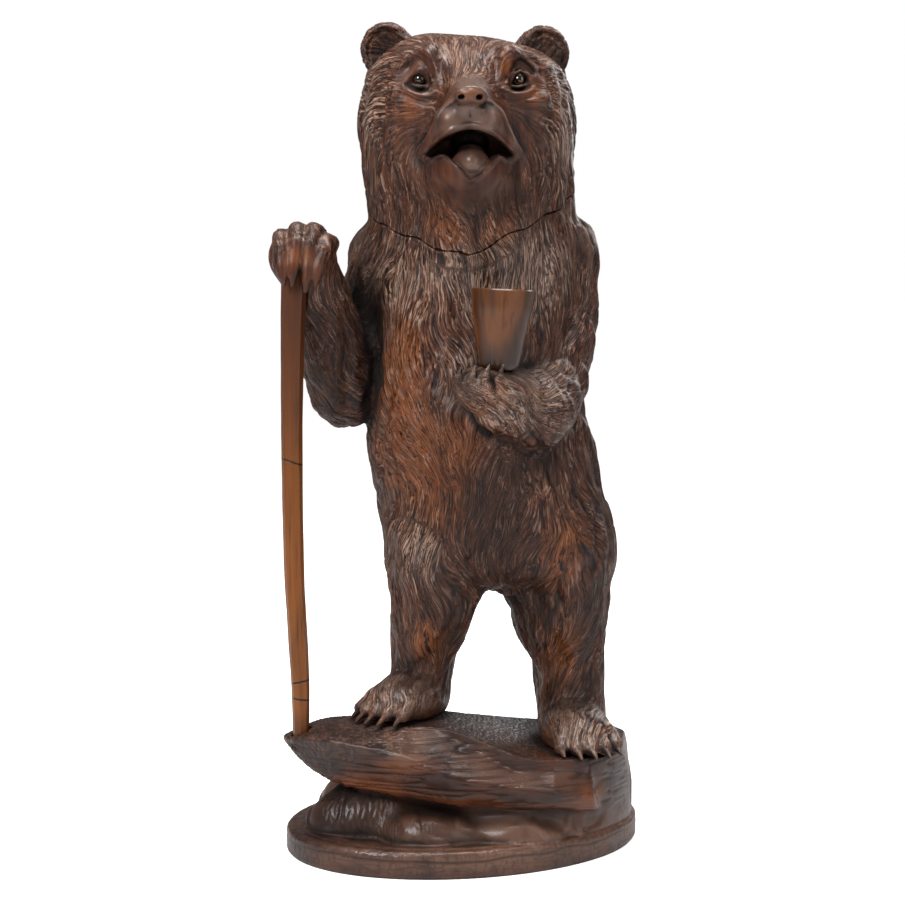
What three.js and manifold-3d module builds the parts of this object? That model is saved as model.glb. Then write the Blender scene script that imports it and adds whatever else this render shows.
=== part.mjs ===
// Carved wooden tobacco jar in the shape of a standing bear with a staff and a drinking cup.
// The bear's torso is bored out to hold tobacco, and the head lifts off as the lid.
// Millimetres, +Z up, the bear looks along -Y, and the origin is the centre of the plinth's underside.
import * as THREE from "three";
import { mergeVertices } from "three/addons/utils/BufferGeometryUtils.js";
import Module from "manifold-3d";

const wasm = await Module();
wasm.setup();

// Driving dimensions
const fitGap = 0.3; // air between two pieces that rest on each other
const middle = 3.1; // x of the plane that halves the bear's face
const headMiddle = 1.7; // and of the one that halves its skull, because it looks slightly to its left

const bore = { x: 4, y: 1, radius: 25, floor: 132, mouth: 275, sides: 24 };
const spigot = { radius: 24.4, foot: 231, dishRadius: 17, dishTop: 250 };
const seam = {
  back: 258, // height at the nape
  slant: 4, // how far it rises from the right shoulder to the left
  dip: 21, // how far it drops to the point under the chin
  dipHalfAngle: 80,
  front: -92, // direction of the point
  locks: 14,
  lockRise: 1.2,
  samples: 56,
  neck: 47, // radius that holds the whole neck
  clear: 22, // how far the parting surface is raised outside the neck, over the paw
  span: 120,
};

const plinth = { x: 1, y: -10.4, long: 73.6, short: 56, turn: 23, height: 11, inset: 5, mean: 64 };
const rock = { high: 54, low: 41.2, fallFrom: -14, fallTo: 36, tail: 0.05 };

const staff = {
  // x, y, z and radius of the whittled rod, from its foot in the rock up into the paw
  knots: [
    [-63.2, -36.5, 46, 3.5],
    [-63.4, -36.5, 72, 4.0],
    [-65.3, -36.5, 112, 4.3],
    [-66, -36.5, 155, 4.5],
    [-65.6, -36.5, 200, 4.9],
    [-64.6, -36.5, 233, 5.4],
  ],
  sides: 8,
};

const cup = {
  x: 14.2,
  y: -52.5,
  foot: 193.5,
  height: 30.5,
  footRadius: 7.4,
  rimRadius: 12,
  wall: 1.6,
  floor: 3.5,
  tilt: 2.5,
  sides: 18,
};
const eye = { radius: 2.5, spread: 19.3, y: -27.5, z: 305 };

// The tufts of fur: how wide they are across the nap, and how far they stand out
const tufts = { width: 10.5, length: 60, rise: 0.9 };

// Each mesh starts from a fine grid and is thinned to these triangle counts.
const grid = { bear: 1.9, base: 2.2 };
const triangles = { bear: 6000, base: 1500 };

// Distances to simple forms, as functions of x, y and z, negative inside

const radians = (degrees) => (degrees * Math.PI) / 180;
const clamp = (v, low, high) => Math.min(high, Math.max(low, v));
const smoothStep = (from, to, v) => {
  const t = clamp((v - from) / (to - from), 0, 1);
  return t * t * (3 - 2 * t);
};

// Joins two distances with a fillet of about the given width.
function join(a, b, width) {
  const h = Math.max(width - Math.abs(a - b), 0) / width;
  return Math.min(a, b) - (h * h * width) / 4;
}
const cut = (a, b, width) => -join(-a, b, width);
const common = (a, b, width) => -join(-a, -b, width);

// An ellipsoid, turned about its own centre by yaw about Z, then pitch about X and roll about Y.
function oval([cx, cy, cz], [rx, ry, rz], { yaw = 0, pitch = 0, roll = 0 } = {}) {
  const angles = new THREE.Euler(radians(pitch), radians(roll), radians(yaw), "ZXY");
  const turn = new THREE.Matrix3().setFromMatrix4(new THREE.Matrix4().makeRotationFromEuler(angles));
  const e = turn.elements;
  return (x, y, z) => {
    const dx = x - cx;
    const dy = y - cy;
    const dz = z - cz;
    const a = (e[0] * dx + e[1] * dy + e[2] * dz) / rx;
    const b = (e[3] * dx + e[4] * dy + e[5] * dz) / ry;
    const c = (e[6] * dx + e[7] * dy + e[8] * dz) / rz;
    const k0 = Math.sqrt(a * a + b * b + c * c);
    const k1 = Math.sqrt((a * a) / (rx * rx) + (b * b) / (ry * ry) + (c * c) / (rz * rz));
    return k1 === 0 ? -Math.min(rx, ry, rz) : (k0 * (k0 - 1)) / k1;
  };
}

// A tapering rod with round ends through knots of x, y, z and radius.
function limb(knots) {
  return (x, y, z) => {
    let nearest = Infinity;
    for (let i = 0; i + 1 < knots.length; i++) {
      const [ax, ay, az, ar] = knots[i];
      const [bx, by, bz, br] = knots[i + 1];
      const dx = bx - ax;
      const dy = by - ay;
      const dz = bz - az;
      const t = clamp(((x - ax) * dx + (y - ay) * dy + (z - az) * dz) / (dx * dx + dy * dy + dz * dz), 0, 1);
      const px = x - ax - t * dx;
      const py = y - ay - t * dy;
      const pz = z - az - t * dz;
      nearest = Math.min(nearest, Math.sqrt(px * px + py * py + pz * pz) - ar - t * (br - ar));
    }
    return nearest;
  };
}

// An upright body with oval sections. Each station is height, centre x, half width, front y and back y,
// and the curve between two stations is a cubic.
function trunk(stations) {
  const heights = stations.map((station) => station[0]);
  const last = stations.length - 1;
  const slope = (i, column) => {
    const [below, above] = [stations[Math.max(0, i - 1)], stations[Math.min(last, i + 1)]];
    return (above[column] - below[column]) / (above[0] - below[0]);
  };
  const slopes = stations.map((_, i) => [0, 1, 2, 3, 4].map((column) => slope(i, column)));
  const read = (z, column) => {
    const at = clamp(z, heights[0], heights[last]);
    let i = 0;
    while (i < last - 1 && heights[i + 1] < at) i++;
    const step = heights[i + 1] - heights[i];
    const t = (at - heights[i]) / step;
    const rest = 1 - t;
    return (
      rest * rest * (1 + 2 * t) * stations[i][column] +
      t * t * (3 - 2 * t) * stations[i + 1][column] +
      t * rest * step * (rest * slopes[i][column] - t * slopes[i + 1][column])
    );
  };
  return (x, y, z) => {
    const half = read(z, 2);
    const front = read(z, 3);
    const back = read(z, 4);
    const deep = (back - front) / 2;
    const u = (x - read(z, 1)) / half;
    const v = (y - (front + back) / 2) / deep;
    const side = (Math.sqrt(u * u + v * v) - 1) * Math.min(half, deep);
    return common(side, Math.max(heights[0] - z, z - heights[last]), 14);
  };
}

// Adds forms to a distance one after the other, each with its own fillet.
function gather(forms) {
  return (x, y, z) => {
    let d = forms[0][0](x, y, z);
    for (let i = 1; i < forms.length; i++) d = join(d, forms[i][0](x, y, z), forms[i][1]);
    return d;
  };
}

// The bear

const torso = trunk([
  [101, 17, 30, -20, 32],
  [110, 16.8, 43.5, -33, 42],
  [121, 15.8, 46, -39, 45],
  [134, 13.1, 46.4, -42, 45.5],
  [146, 10.6, 46.4, -43.5, 44],
  [158, 8.7, 46.4, -43.5, 42],
  [178, 6, 43.5, -41.5, 41],
  [200, 5, 41.5, -38, 41],
  [222, 5, 42.5, -36.5, 41],
  [240, 5, 43, -36, 41],
  [252, 5, 41.5, -36, 40],
  [266, 4.5, 39, -37, 38],
  [280, 4, 34, -30, 33],
]);

const rightThigh = oval([-9, 4, 112], [19.5, 31, 34], { pitch: -8 });
const leftThigh = oval([40.6, 10, 108], [20.8, 31, 36], { pitch: -6 });
const tail = oval([6, 45, 122], [7, 7, 10], { pitch: 20 });
const rightLeg = limb([
  [-8, -9, 122, 21],
  [-11.5, -15, 99, 16.5],
  [-15.5, -12, 76, 13],
  [-16.5, -9, 60, 12.2],
]);
const leftLeg = limb([
  [39.5, 1, 118, 23.5],
  [40.4, 0, 96, 20.3],
  [44, 0, 74, 15],
  [45.4, -3, 50, 14],
]);

// A foot that points along its yaw, with five toes and their claws in front.
function foot({ x, y, z, yaw, length, width, height, sole }) {
  const a = radians(yaw);
  const place = (across, ahead, up) => [
    x + across * Math.cos(a) - ahead * Math.sin(a),
    y - across * Math.sin(a) - ahead * Math.cos(a),
    up,
  ];
  const forms = [[oval(place(0, 2, z), [width, length * 0.8, height], { yaw: -yaw }), 0]];
  const toes = 5;
  for (let i = 0; i < toes; i++) {
    const side = (2 * i) / (toes - 1) - 1;
    const reach = length * (1 - 0.17 * side * side);
    const across = side * width * 0.8;
    const knuckle = [...place(across * 0.85, reach * 0.62, z + height * 0.12), width * 0.27];
    const tip = [...place(across, reach * 0.93, z - height * 0.22), width * 0.22];
    const clawTip = [...place(across * 1.04, reach * 1.22, sole + 0.7), 0.6];
    forms.push([limb([[...place(across * 0.5, 0, z), width * 0.3], knuckle, tip]), 1.6]);
    forms.push([limb([[...tip.slice(0, 3), width * 0.13], clawTip]), 0.6]);
  }
  return gather(forms);
}
const rightPlan = { x: -20.5, y: -23, z: 60.5, yaw: 40, length: 22, width: 13.5, height: 10.5, sole: 54.2 };
const leftPlan = { x: 45.8, y: -17, z: 46.5, yaw: -14, length: 24, width: 14, height: 11.5, sole: 40.6 };
const rightFoot = foot(rightPlan);
const leftFoot = foot(leftPlan);

// The arm that grips the staff: shoulder, elbow low at the side, forearm up to the paw.
const staffArm = limb([
  [-28.3, 4, 235, 17.8],
  [-35, 3, 208, 14.8],
  [-44, -4, 184, 15.8],
  [-50.5, -14, 197, 14],
  [-55.5, -21, 218, 12.8],
  [-60.5, -26, 235, 11],
]);
const staffPalm = oval([-62.6, -31, 236.4], [13, 11.5, 11.3]);
function staffFingers() {
  const fingers = 4;
  const forms = [];
  for (let i = 0; i < fingers; i++) {
    const x = -69.4 + i * 4.7;
    const lift = 3 * Math.sin((Math.PI * (i + 0.6)) / fingers);
    const front = -43 - lift * 0.5;
    const knuckle = [x + 0.5, -35, 242 + lift, 4.4];
    const tip = [x, front, 232.5, 2.8];
    forms.push([limb([[x + 2, -25, 240, 5], knuckle, [x, front + 1.2, 237.5 + lift, 3.6], tip]), 1.4]);
    forms.push([limb([[...tip.slice(0, 3), 2], [x + 0.8, front - 0.6, 224.6, 0.6]]), 0.5]);
  }
  return forms;
}

// The arm that carries the cup: elbow at the side, forearm across the belly with the palm up.
const cupArm = limb([
  [38, 4, 238, 18],
  [41.3, 2, 212, 14],
  [37, -11, 185, 14.3],
  [27, -32, 177, 16],
  [15, -44, 182, 12.5],
  [9, -49, 185.5, 9],
]);
const cupPalm = oval([9.5, -52, 187], [12.5, 12, 7.5]);
function cupFingers() {
  const fingers = 4;
  const forms = [];
  for (let i = 0; i < fingers; i++) {
    const x = -1.6 + i * 3.6;
    const y = -57.5 - i * 2.2;
    const tip = [x, y - 2.6, 191.5, 2];
    forms.push([limb([[x + 5, y + 8, 185, 5], [x + 0.4, y - 1.6, 186.5, 3.4], tip]), 1.4]);
    forms.push([limb([[...tip.slice(0, 3), 1.5], [x + 0.4, y - 2.4, 198, 0.5]]), 0.4]);
  }
  return forms;
}

// Head, with the nose lifted
const skull = oval([headMiddle, -2, 290.5], [36.5, 34, 30.5]);
const crown = oval([headMiddle, -4, 307], [31, 26, 14.5]);
const ruff = oval([headMiddle + 1, 0, 267], [38, 36, 27]);
const beard = oval([middle, -25, 250], [22, 14, 24], { pitch: -8 });
const cheek = (side) => oval([headMiddle + 0.6 + side * 23.9, -3, 285], [16.5, 24, 26], { roll: side * 6 });
const muzzle = limb([
  [middle, -18, 290, 21],
  [middle, -42, 285.5, 12.5],
]);
const noseBridge = limb([
  [middle, -26, 302.5, 10],
  [middle, -45, 297.5, 7.5],
  [middle, -59, 293.5, 5.4],
]);
const nosePad = oval([middle + 0.3, -62.5, 295.4], [6.1, 4.6, 3.7], { pitch: -14 });
const nostril = (side) =>
  oval([middle + side * 3.3, -66, 294.5], [1.6, 3, 1.2], { roll: side * 24, pitch: 20 });
const upperLip = (side) =>
  oval([middle + side * 5.2, -52, 286.5], [7.6, 10, 7.4], { yaw: side * 22, roll: side * -14 });
const lipEnd = (side) =>
  limb([
    [middle + side * 6, -54, 283.5, 5],
    [middle + side * 12, -50, 281, 4.6],
    [middle + side * 17, -40, 276.5, 3.6],
  ]);
const jaw = oval([middle, -36, 267.5], [15.5, 17, 8.5], { pitch: -12 });
const chin = limb([
  [middle, -45, 265, 8],
  [middle, -33, 250, 11],
]);
const innerBrow = (side) => oval([middle + side * 14, -26.5, 311], [3.6, 4.6, 6.6], { roll: side * 12 });
const outerBrow = (side) =>
  limb([
    [middle + side * 15, -25.5, 315, 3.2],
    [middle + side * 23, -21, 312, 3.4],
    [middle + side * 28.5, -14, 305, 3],
  ]);
const cheekBone = (side) => oval([middle + side * 21, -28, 296.5], [8, 5, 6], { roll: side * 20 });
const earAt = (side, ahead) => [headMiddle - 0.5 + side * 30.7, 1 - ahead, 318.6 - side * 0.7];
const earTurn = (side) => ({ yaw: side * -14, roll: side * 18 });
const ear = (side) => oval(earAt(side, 0), [11.2, 5.6, 11.8], earTurn(side));
const earHollow = (side) => oval(earAt(side, 5.4), [8.9, 3, 9.5], earTurn(side));

// The hollow round each eye rises to a point above it.
const eyeX = (side) => middle + side * eye.spread;
const eyeSocket = (side) =>
  limb([
    [eyeX(side), eye.y - 4.6, eye.z - 0.4, 4.6],
    [eyeX(side) + side * 0.6, eye.y - 3.4, eye.z + 5, 1.2],
  ]);
const eyelid = (side, lift) =>
  oval([eyeX(side), eye.y + 0.4, eye.z + lift], [4.6, 3.4, 2], { roll: side * -12 });

// The open mouth: an arch above, a lip that sags in the middle below, and walls that close in behind.
const mouth = {
  halfWidth: 17.6,
  top: 284.2,
  arch: 9.6,
  lip: 268.4,
  lipPeak: 6,
  peakAt: 10.6,
  cornerDrop: 2.2,
  slope: 0.12,
  throat: 7.6, // half the width at the back
  throatAt: -37,
  back: -31,
};
function mouthSpace(x, y, z) {
  const away = Math.abs(x - middle);
  const level = z - mouth.slope * (y + 52);
  const top = mouth.top - mouth.arch * (away / mouth.halfWidth) ** 2;
  const sag = mouth.lip + mouth.lipPeak * smoothStep(0.5, mouth.peakAt, away);
  const lip = sag - mouth.cornerDrop * smoothStep(mouth.peakAt, mouth.halfWidth, away);
  const wall = Math.min(mouth.halfWidth, mouth.throat + 1.5 * Math.max(0, mouth.throatAt - y));
  const inside = common(common(level - top, lip - level, 1.5) * 0.8, (away - wall) * 0.6, 4);
  return common(inside, y - mouth.back, 5);
}
const tongue = gather([
  [
    limb([
      [middle + 0.4, -32, 272, 6.8],
      [middle + 0.4, -44, 271.5, 6],
      [middle + 0.6, -51, 270, 4.6],
    ]),
    0,
  ],
  [oval([middle + 0.4, -46, 269.5], [7, 7, 4.5], { pitch: -14 }), 2],
]);

const bothSides = (form, width) => [
  [form(-1), width],
  [form(1), width],
];
const headAdded = gather([
  [skull, 0],
  [crown, 14],
  [ruff, 14],
  [beard, 12],
  ...bothSides(cheek, 14),
  [muzzle, 10],
  [noseBridge, 7],
  ...bothSides(upperLip, 4),
  ...bothSides(lipEnd, 4),
  [jaw, 7],
  [chin, 9],
  ...bothSides(innerBrow, 4),
  ...bothSides(outerBrow, 5),
  ...bothSides(cheekBone, 7),
  ...bothSides(ear, 3.5),
]);
const eyelids = [-1, 1].flatMap((side) => [eyelid(side, 3.2), eyelid(side, -3.2)]);

function head(x, y, z) {
  let d = headAdded(x, y, z);
  for (const side of [-1, 1]) {
    d = cut(d, earHollow(side)(x, y, z), 1.2);
    d = cut(d, eyeSocket(side)(x, y, z), 2.4);
  }
  for (const lid of eyelids) d = join(d, lid(x, y, z), 1.6);
  d = join(d, nosePad(x, y, z), 1.2);
  for (const side of [-1, 1]) d = cut(d, nostril(side)(x, y, z), 0.8);
  d = cut(d, mouthSpace(x, y, z), 1.4);
  return join(d, tongue(x, y, z), 0.8);
}

const arms = gather([
  [staffArm, 0],
  [staffPalm, 5],
  ...staffFingers(),
]);
const cupHand = gather([
  [cupArm, 0],
  [cupPalm, 5],
  ...cupFingers(),
]);
const trunkAndLegs = gather([
  [torso, 0],
  [rightThigh, 8],
  [leftThigh, 8],
  [tail, 5],
  [rightLeg, 9],
  [leftLeg, 9],
  [rightFoot, 6],
  [leftFoot, 6],
]);

// Long soft ridges that run down the coat. They die out on the face, the paws and the feet.
function coat(x, y, z) {
  const wave = (2 * Math.PI) / tufts.width;
  const slow = (2 * Math.PI) / tufts.length;
  const across = Math.sin(wave * x + 1.9 * Math.sin(0.31 * y + slow * z) + 0.9 * Math.sin(2.3 * slow * z));
  const along = Math.sin(wave * 0.93 * y + 1.7 * Math.sin(0.27 * x - slow * 1.1 * z));
  const face = smoothStep(24, 34, Math.hypot(x - middle, (y + 46) * 0.8, z - 288));
  const staffPaw = smoothStep(14, 22, Math.hypot(x + 62, y + 33, z - 238));
  const cupPaw = smoothStep(16, 24, Math.hypot(x - 6, y + 54, z - 190));
  const ends = smoothStep(8, 22, z - rockTop(x)) * smoothStep(316, 306, z);
  return tufts.rise * 0.5 * (across + along) * face * staffPaw * cupPaw * ends;
}

const figure = (x, y, z) => {
  let d = join(trunkAndLegs(x, y, z), head(x, y, z), 10);
  d = join(d, arms(x, y, z), 5);
  d = join(d, cupHand(x, y, z), 5);
  return Math.abs(d) < 4 ? d - coat(x, y, z) : d;
};

// The base: a plinth ring, a mound and a slab of rock

const plinthTurn = radians(plinth.turn);
function plinthReach(x, y) {
  const dx = x - plinth.x;
  const dy = y - plinth.y;
  const u = (dx * Math.cos(plinthTurn) + dy * Math.sin(plinthTurn)) / plinth.long;
  const v = (-dx * Math.sin(plinthTurn) + dy * Math.cos(plinthTurn)) / plinth.short;
  return (Math.sqrt(u * u + v * v) - 1) * plinth.mean;
}

// Height of the trodden rock: level under the right foot, then falling to the left foot
function rockTop(x) {
  const fall = (rock.high - rock.low) * smoothStep(rock.fallFrom, rock.fallTo, x);
  return rock.high - fall - rock.tail * Math.max(0, x - rock.fallTo);
}

function plinthRing(x, y, z) {
  const out = plinthReach(x, y) + plinth.inset;
  const bulge = Math.hypot(Math.max(Math.abs(out) - 2.4, 0), Math.max(Math.abs(z - 5.2) - 3, 0)) - 2.6;
  const disc = Math.max(out, z - plinth.height, -z);
  return join(bulge, disc, 1);
}
const mound = limb([
  [-26, -18, 12, 27],
  [34, -12, 6, 33],
]);
const lumps = [
  oval([-41, -32, 12], [21, 15, 16]),
  oval([-12, -50, 10], [18, 10, 12]),
  oval([22, -48, 10], [18, 10, 10]),
  oval([52, -18, 13], [16, 22, 13]),
  oval([38, 16, 12], [26, 20, 15]),
  oval([-10, 24, 12], [28, 18, 15]),
  oval([-40, 2, 12], [19, 20, 15]),
];

// Distance from a plane through a point, positive on the side that the direction points to.
function plane([px, py, pz], [nx, ny, nz]) {
  const l = Math.hypot(nx, ny, nz);
  return (x, y, z) => ((x - px) * nx + (y - py) * ny + (z - pz) * nz) / l;
}
// Stations along the slab: x, y and z of its front ridge, y of the edge of its flat top, its underside
const slabStations = [
  [-74, -30, 47, -22, 41],
  [-66, -42, 49.5, -30, 38],
  [-51, -52, 50, -38, 31],
  [-40, -56, 48.6, -41, 28],
  [-23, -60, 45.5, -45, 26.5],
  [-4, -61.5, 37.5, -44, 24.5],
  [16, -60, 33.5, -43, 23.5],
  [36, -57, 30.5, -42, 22.5],
  [46, -52, 28.5, -40, 21],
  [57, -46, 26, -38, 20],
];
function slabSection(x) {
  const last = slabStations.length - 1;
  let i = 0;
  while (i < last - 1 && x > slabStations[i + 1][0]) i++;
  const [from, to] = [slabStations[i], slabStations[i + 1]];
  const share = Math.min(1, Math.max(0, (x - from[0]) / (to[0] - from[0])));
  return from.map((value, c) => value + (to[c] - value) * share).slice(1);
}
const slabSides = [
  plane([-56.5, 0, 54], [-0.4, 0, 0.92]),
  plane([-71.8, -34, 44], [-1, -0.1, 0.15]),
  plane([-62, -32, 41.5], [-0.76, -0.1, -0.65]),
  plane([50.5, -50, 33], [0.97, -0.1, 0.22]),
  plane([-50, -22, 48], [-0.3, 0.95, 0.15]),
];
const rearSides = [
  plane([-33, 0, 40], [-0.95, 0.15, 0.1]),
  plane([-10, -45, 30], [-0.2, -1, 0]),
  plane([50, -43, 30], [0.3, -0.95, 0.05]),
  plane([71, 0, 22], [1, -0.15, 0.12]),
  plane([0, 28, 38], [-0.15, 1, 0.35]),
  plane([62.6, -20, 46], [0.94, -0.1, 0.34]),
  plane([0, -3, 52.4], [0, 0.28, 1]),
];

// A tongue of rock: its top slopes down to a ridge along the front, and the face below is undercut
function slab(x, y, z) {
  const [ridgeY, ridgeZ, edgeY, underside] = slabSection(x);
  const top = rockTop(x);
  const slope = (top - ridgeZ) / (edgeY - ridgeY);
  const upper = (z - Math.min(ridgeZ + (y - ridgeY) * slope, top)) * 0.86;
  const front = (ridgeY + 0.5 * (ridgeZ - z) - y) * 0.88;
  let d = common(common(upper, front, 2), underside - z, 3);
  for (const side of slabSides) d = common(d, side(x, y, z), 2.5);
  return d;
}
function rear(x, y, z) {
  let d = z - rockTop(x) - 0.6;
  for (const side of rearSides) d = common(d, side(x, y, z), 1.4);
  return common(d, 4 - z, 1.4);
}
function base(x, y, z) {
  let d = join(mound(x, y, z), rear(x, y, z), 3);
  for (const lump of lumps) d = join(d, lump(x, y, z), 4);
  d = join(Math.max(d, plinthReach(x, y) + 1.5), slab(x, y, z), 1.2);
  d = join(d, plinthRing(x, y, z), 0.8);
  return Math.max(d, -z, z - rockTop(x));
}

// Turning a distance into a mesh

// Marching tetrahedra over a box: always a closed surface, with shared vertices. A cell's corners are
// numbered 0 to 7 by the bits of their x, y and z, and six tetrahedra run from corner 0 to corner 7.
const tetrahedra = [
  [0, 1, 3, 7],
  [0, 5, 1, 7],
  [0, 3, 2, 7],
  [0, 2, 6, 7],
  [0, 4, 5, 7],
  [0, 6, 4, 7],
];
function surface(distance, low, high, step) {
  const [nx, ny, nz] = low.map((l, i) => Math.ceil((high[i] - l) / step) + 1);
  const offset = Array.from({ length: 8 }, (_, c) => (c & 1) + nx * ((c >> 1) & 1) + nx * ny * (c >> 2));
  const values = new Float64Array(nx * ny * nz);
  const block = 4;
  const far = 1.6 * block * step;
  const at = (i, j, k) => distance(low[0] + i * step, low[1] + j * step, low[2] + k * step) || 1e-9;
  for (let k0 = 0; k0 < nz; k0 += block)
    for (let j0 = 0; j0 < ny; j0 += block)
      for (let i0 = 0; i0 < nx; i0 += block) {
        const centre = at(i0 + block / 2, j0 + block / 2, k0 + block / 2);
        const skip = Math.abs(centre) > far;
        for (let k = k0; k < Math.min(nz, k0 + block); k++)
          for (let j = j0; j < Math.min(ny, j0 + block); j++)
            for (let i = i0; i < Math.min(nx, i0 + block); i++)
              values[(k * ny + j) * nx + i] = skip ? centre : at(i, j, k);
      }

  const points = [];
  const faces = [];
  const made = new Int32Array(values.length * 8).fill(-1);
  const crossing = (cell, c, d) => {
    const first = c & d; // corners of one edge differ by added bits only
    const along = c ^ d;
    const a = cell + offset[first];
    const key = a * 8 + along;
    if (made[key] < 0) {
      const t = clamp(values[a] / (values[a] - values[a + offset[along]]), 0.03, 0.97);
      const [i, j, k] = [a % nx, Math.floor(a / nx) % ny, Math.floor(a / (nx * ny))];
      made[key] = points.length;
      points.push([
        low[0] + (i + t * (along & 1)) * step,
        low[1] + (j + t * ((along >> 1) & 1)) * step,
        low[2] + (k + t * (along >> 2)) * step,
      ]);
    }
    return made[key];
  };
  const march = (cell, tetrahedron) => {
    const inside = tetrahedron.filter((c) => values[cell + offset[c]] < 0);
    const outside = tetrahedron.filter((c) => values[cell + offset[c]] >= 0);
    if (!inside.length || !outside.length) return;
    const order = [...inside, ...outside].map((c) => tetrahedron.indexOf(c));
    let swaps = 0;
    for (let i = 0; i < 4; i++) for (let j = i + 1; j < 4; j++) swaps += order[i] > order[j];
    const rim =
      inside.length === 1
        ? outside.map((o) => crossing(cell, inside[0], o))
        : inside.length === 3
          ? inside.map((n) => crossing(cell, n, outside[0]))
          : [
              crossing(cell, inside[0], outside[0]),
              crossing(cell, inside[0], outside[1]),
              crossing(cell, inside[1], outside[1]),
              crossing(cell, inside[1], outside[0]),
            ];
    if (swaps % 2) rim.reverse();
    faces.push([rim[0], rim[1], rim[2]]);
    if (rim.length === 4) faces.push([rim[0], rim[2], rim[3]]);
  };
  for (let k = 0; k + 1 < nz; k++)
    for (let j = 0; j + 1 < ny; j++)
      for (let i = 0; i + 1 < nx; i++) {
        const cell = (k * ny + j) * nx + i;
        let negative = 0;
        for (const o of offset) negative += values[cell + o] < 0;
        if (negative % 8) for (const tetrahedron of tetrahedra) march(cell, tetrahedron);
      }
  return { points, faces };
}

function normal(a, b, c) {
  const ux = b[0] - a[0];
  const uy = b[1] - a[1];
  const uz = b[2] - a[2];
  const vx = c[0] - a[0];
  const vy = c[1] - a[1];
  const vz = c[2] - a[2];
  return [uy * vz - uz * vy, uz * vx - ux * vz, ux * vy - uy * vx];
}

// Candidates for merging, cheapest first.
class Queue {
  items = [];

  push(item) {
    const { items } = this;
    let i = items.push(item) - 1;
    while (i > 0) {
      const up = (i - 1) >> 1;
      if (items[up].cost <= item.cost) break;
      items[i] = items[up];
      i = up;
    }
    items[i] = item;
  }

  pop() {
    const { items } = this;
    const top = items[0];
    const last = items.pop();
    if (!items.length) return top;
    let i = 0;
    for (;;) {
      let next = 2 * i + 1;
      if (next >= items.length) break;
      if (next + 1 < items.length && items[next + 1].cost < items[next].cost) next++;
      if (last.cost <= items[next].cost) break;
      items[i] = items[next];
      i = next;
    }
    items[i] = last;
    return top;
  }
}

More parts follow.
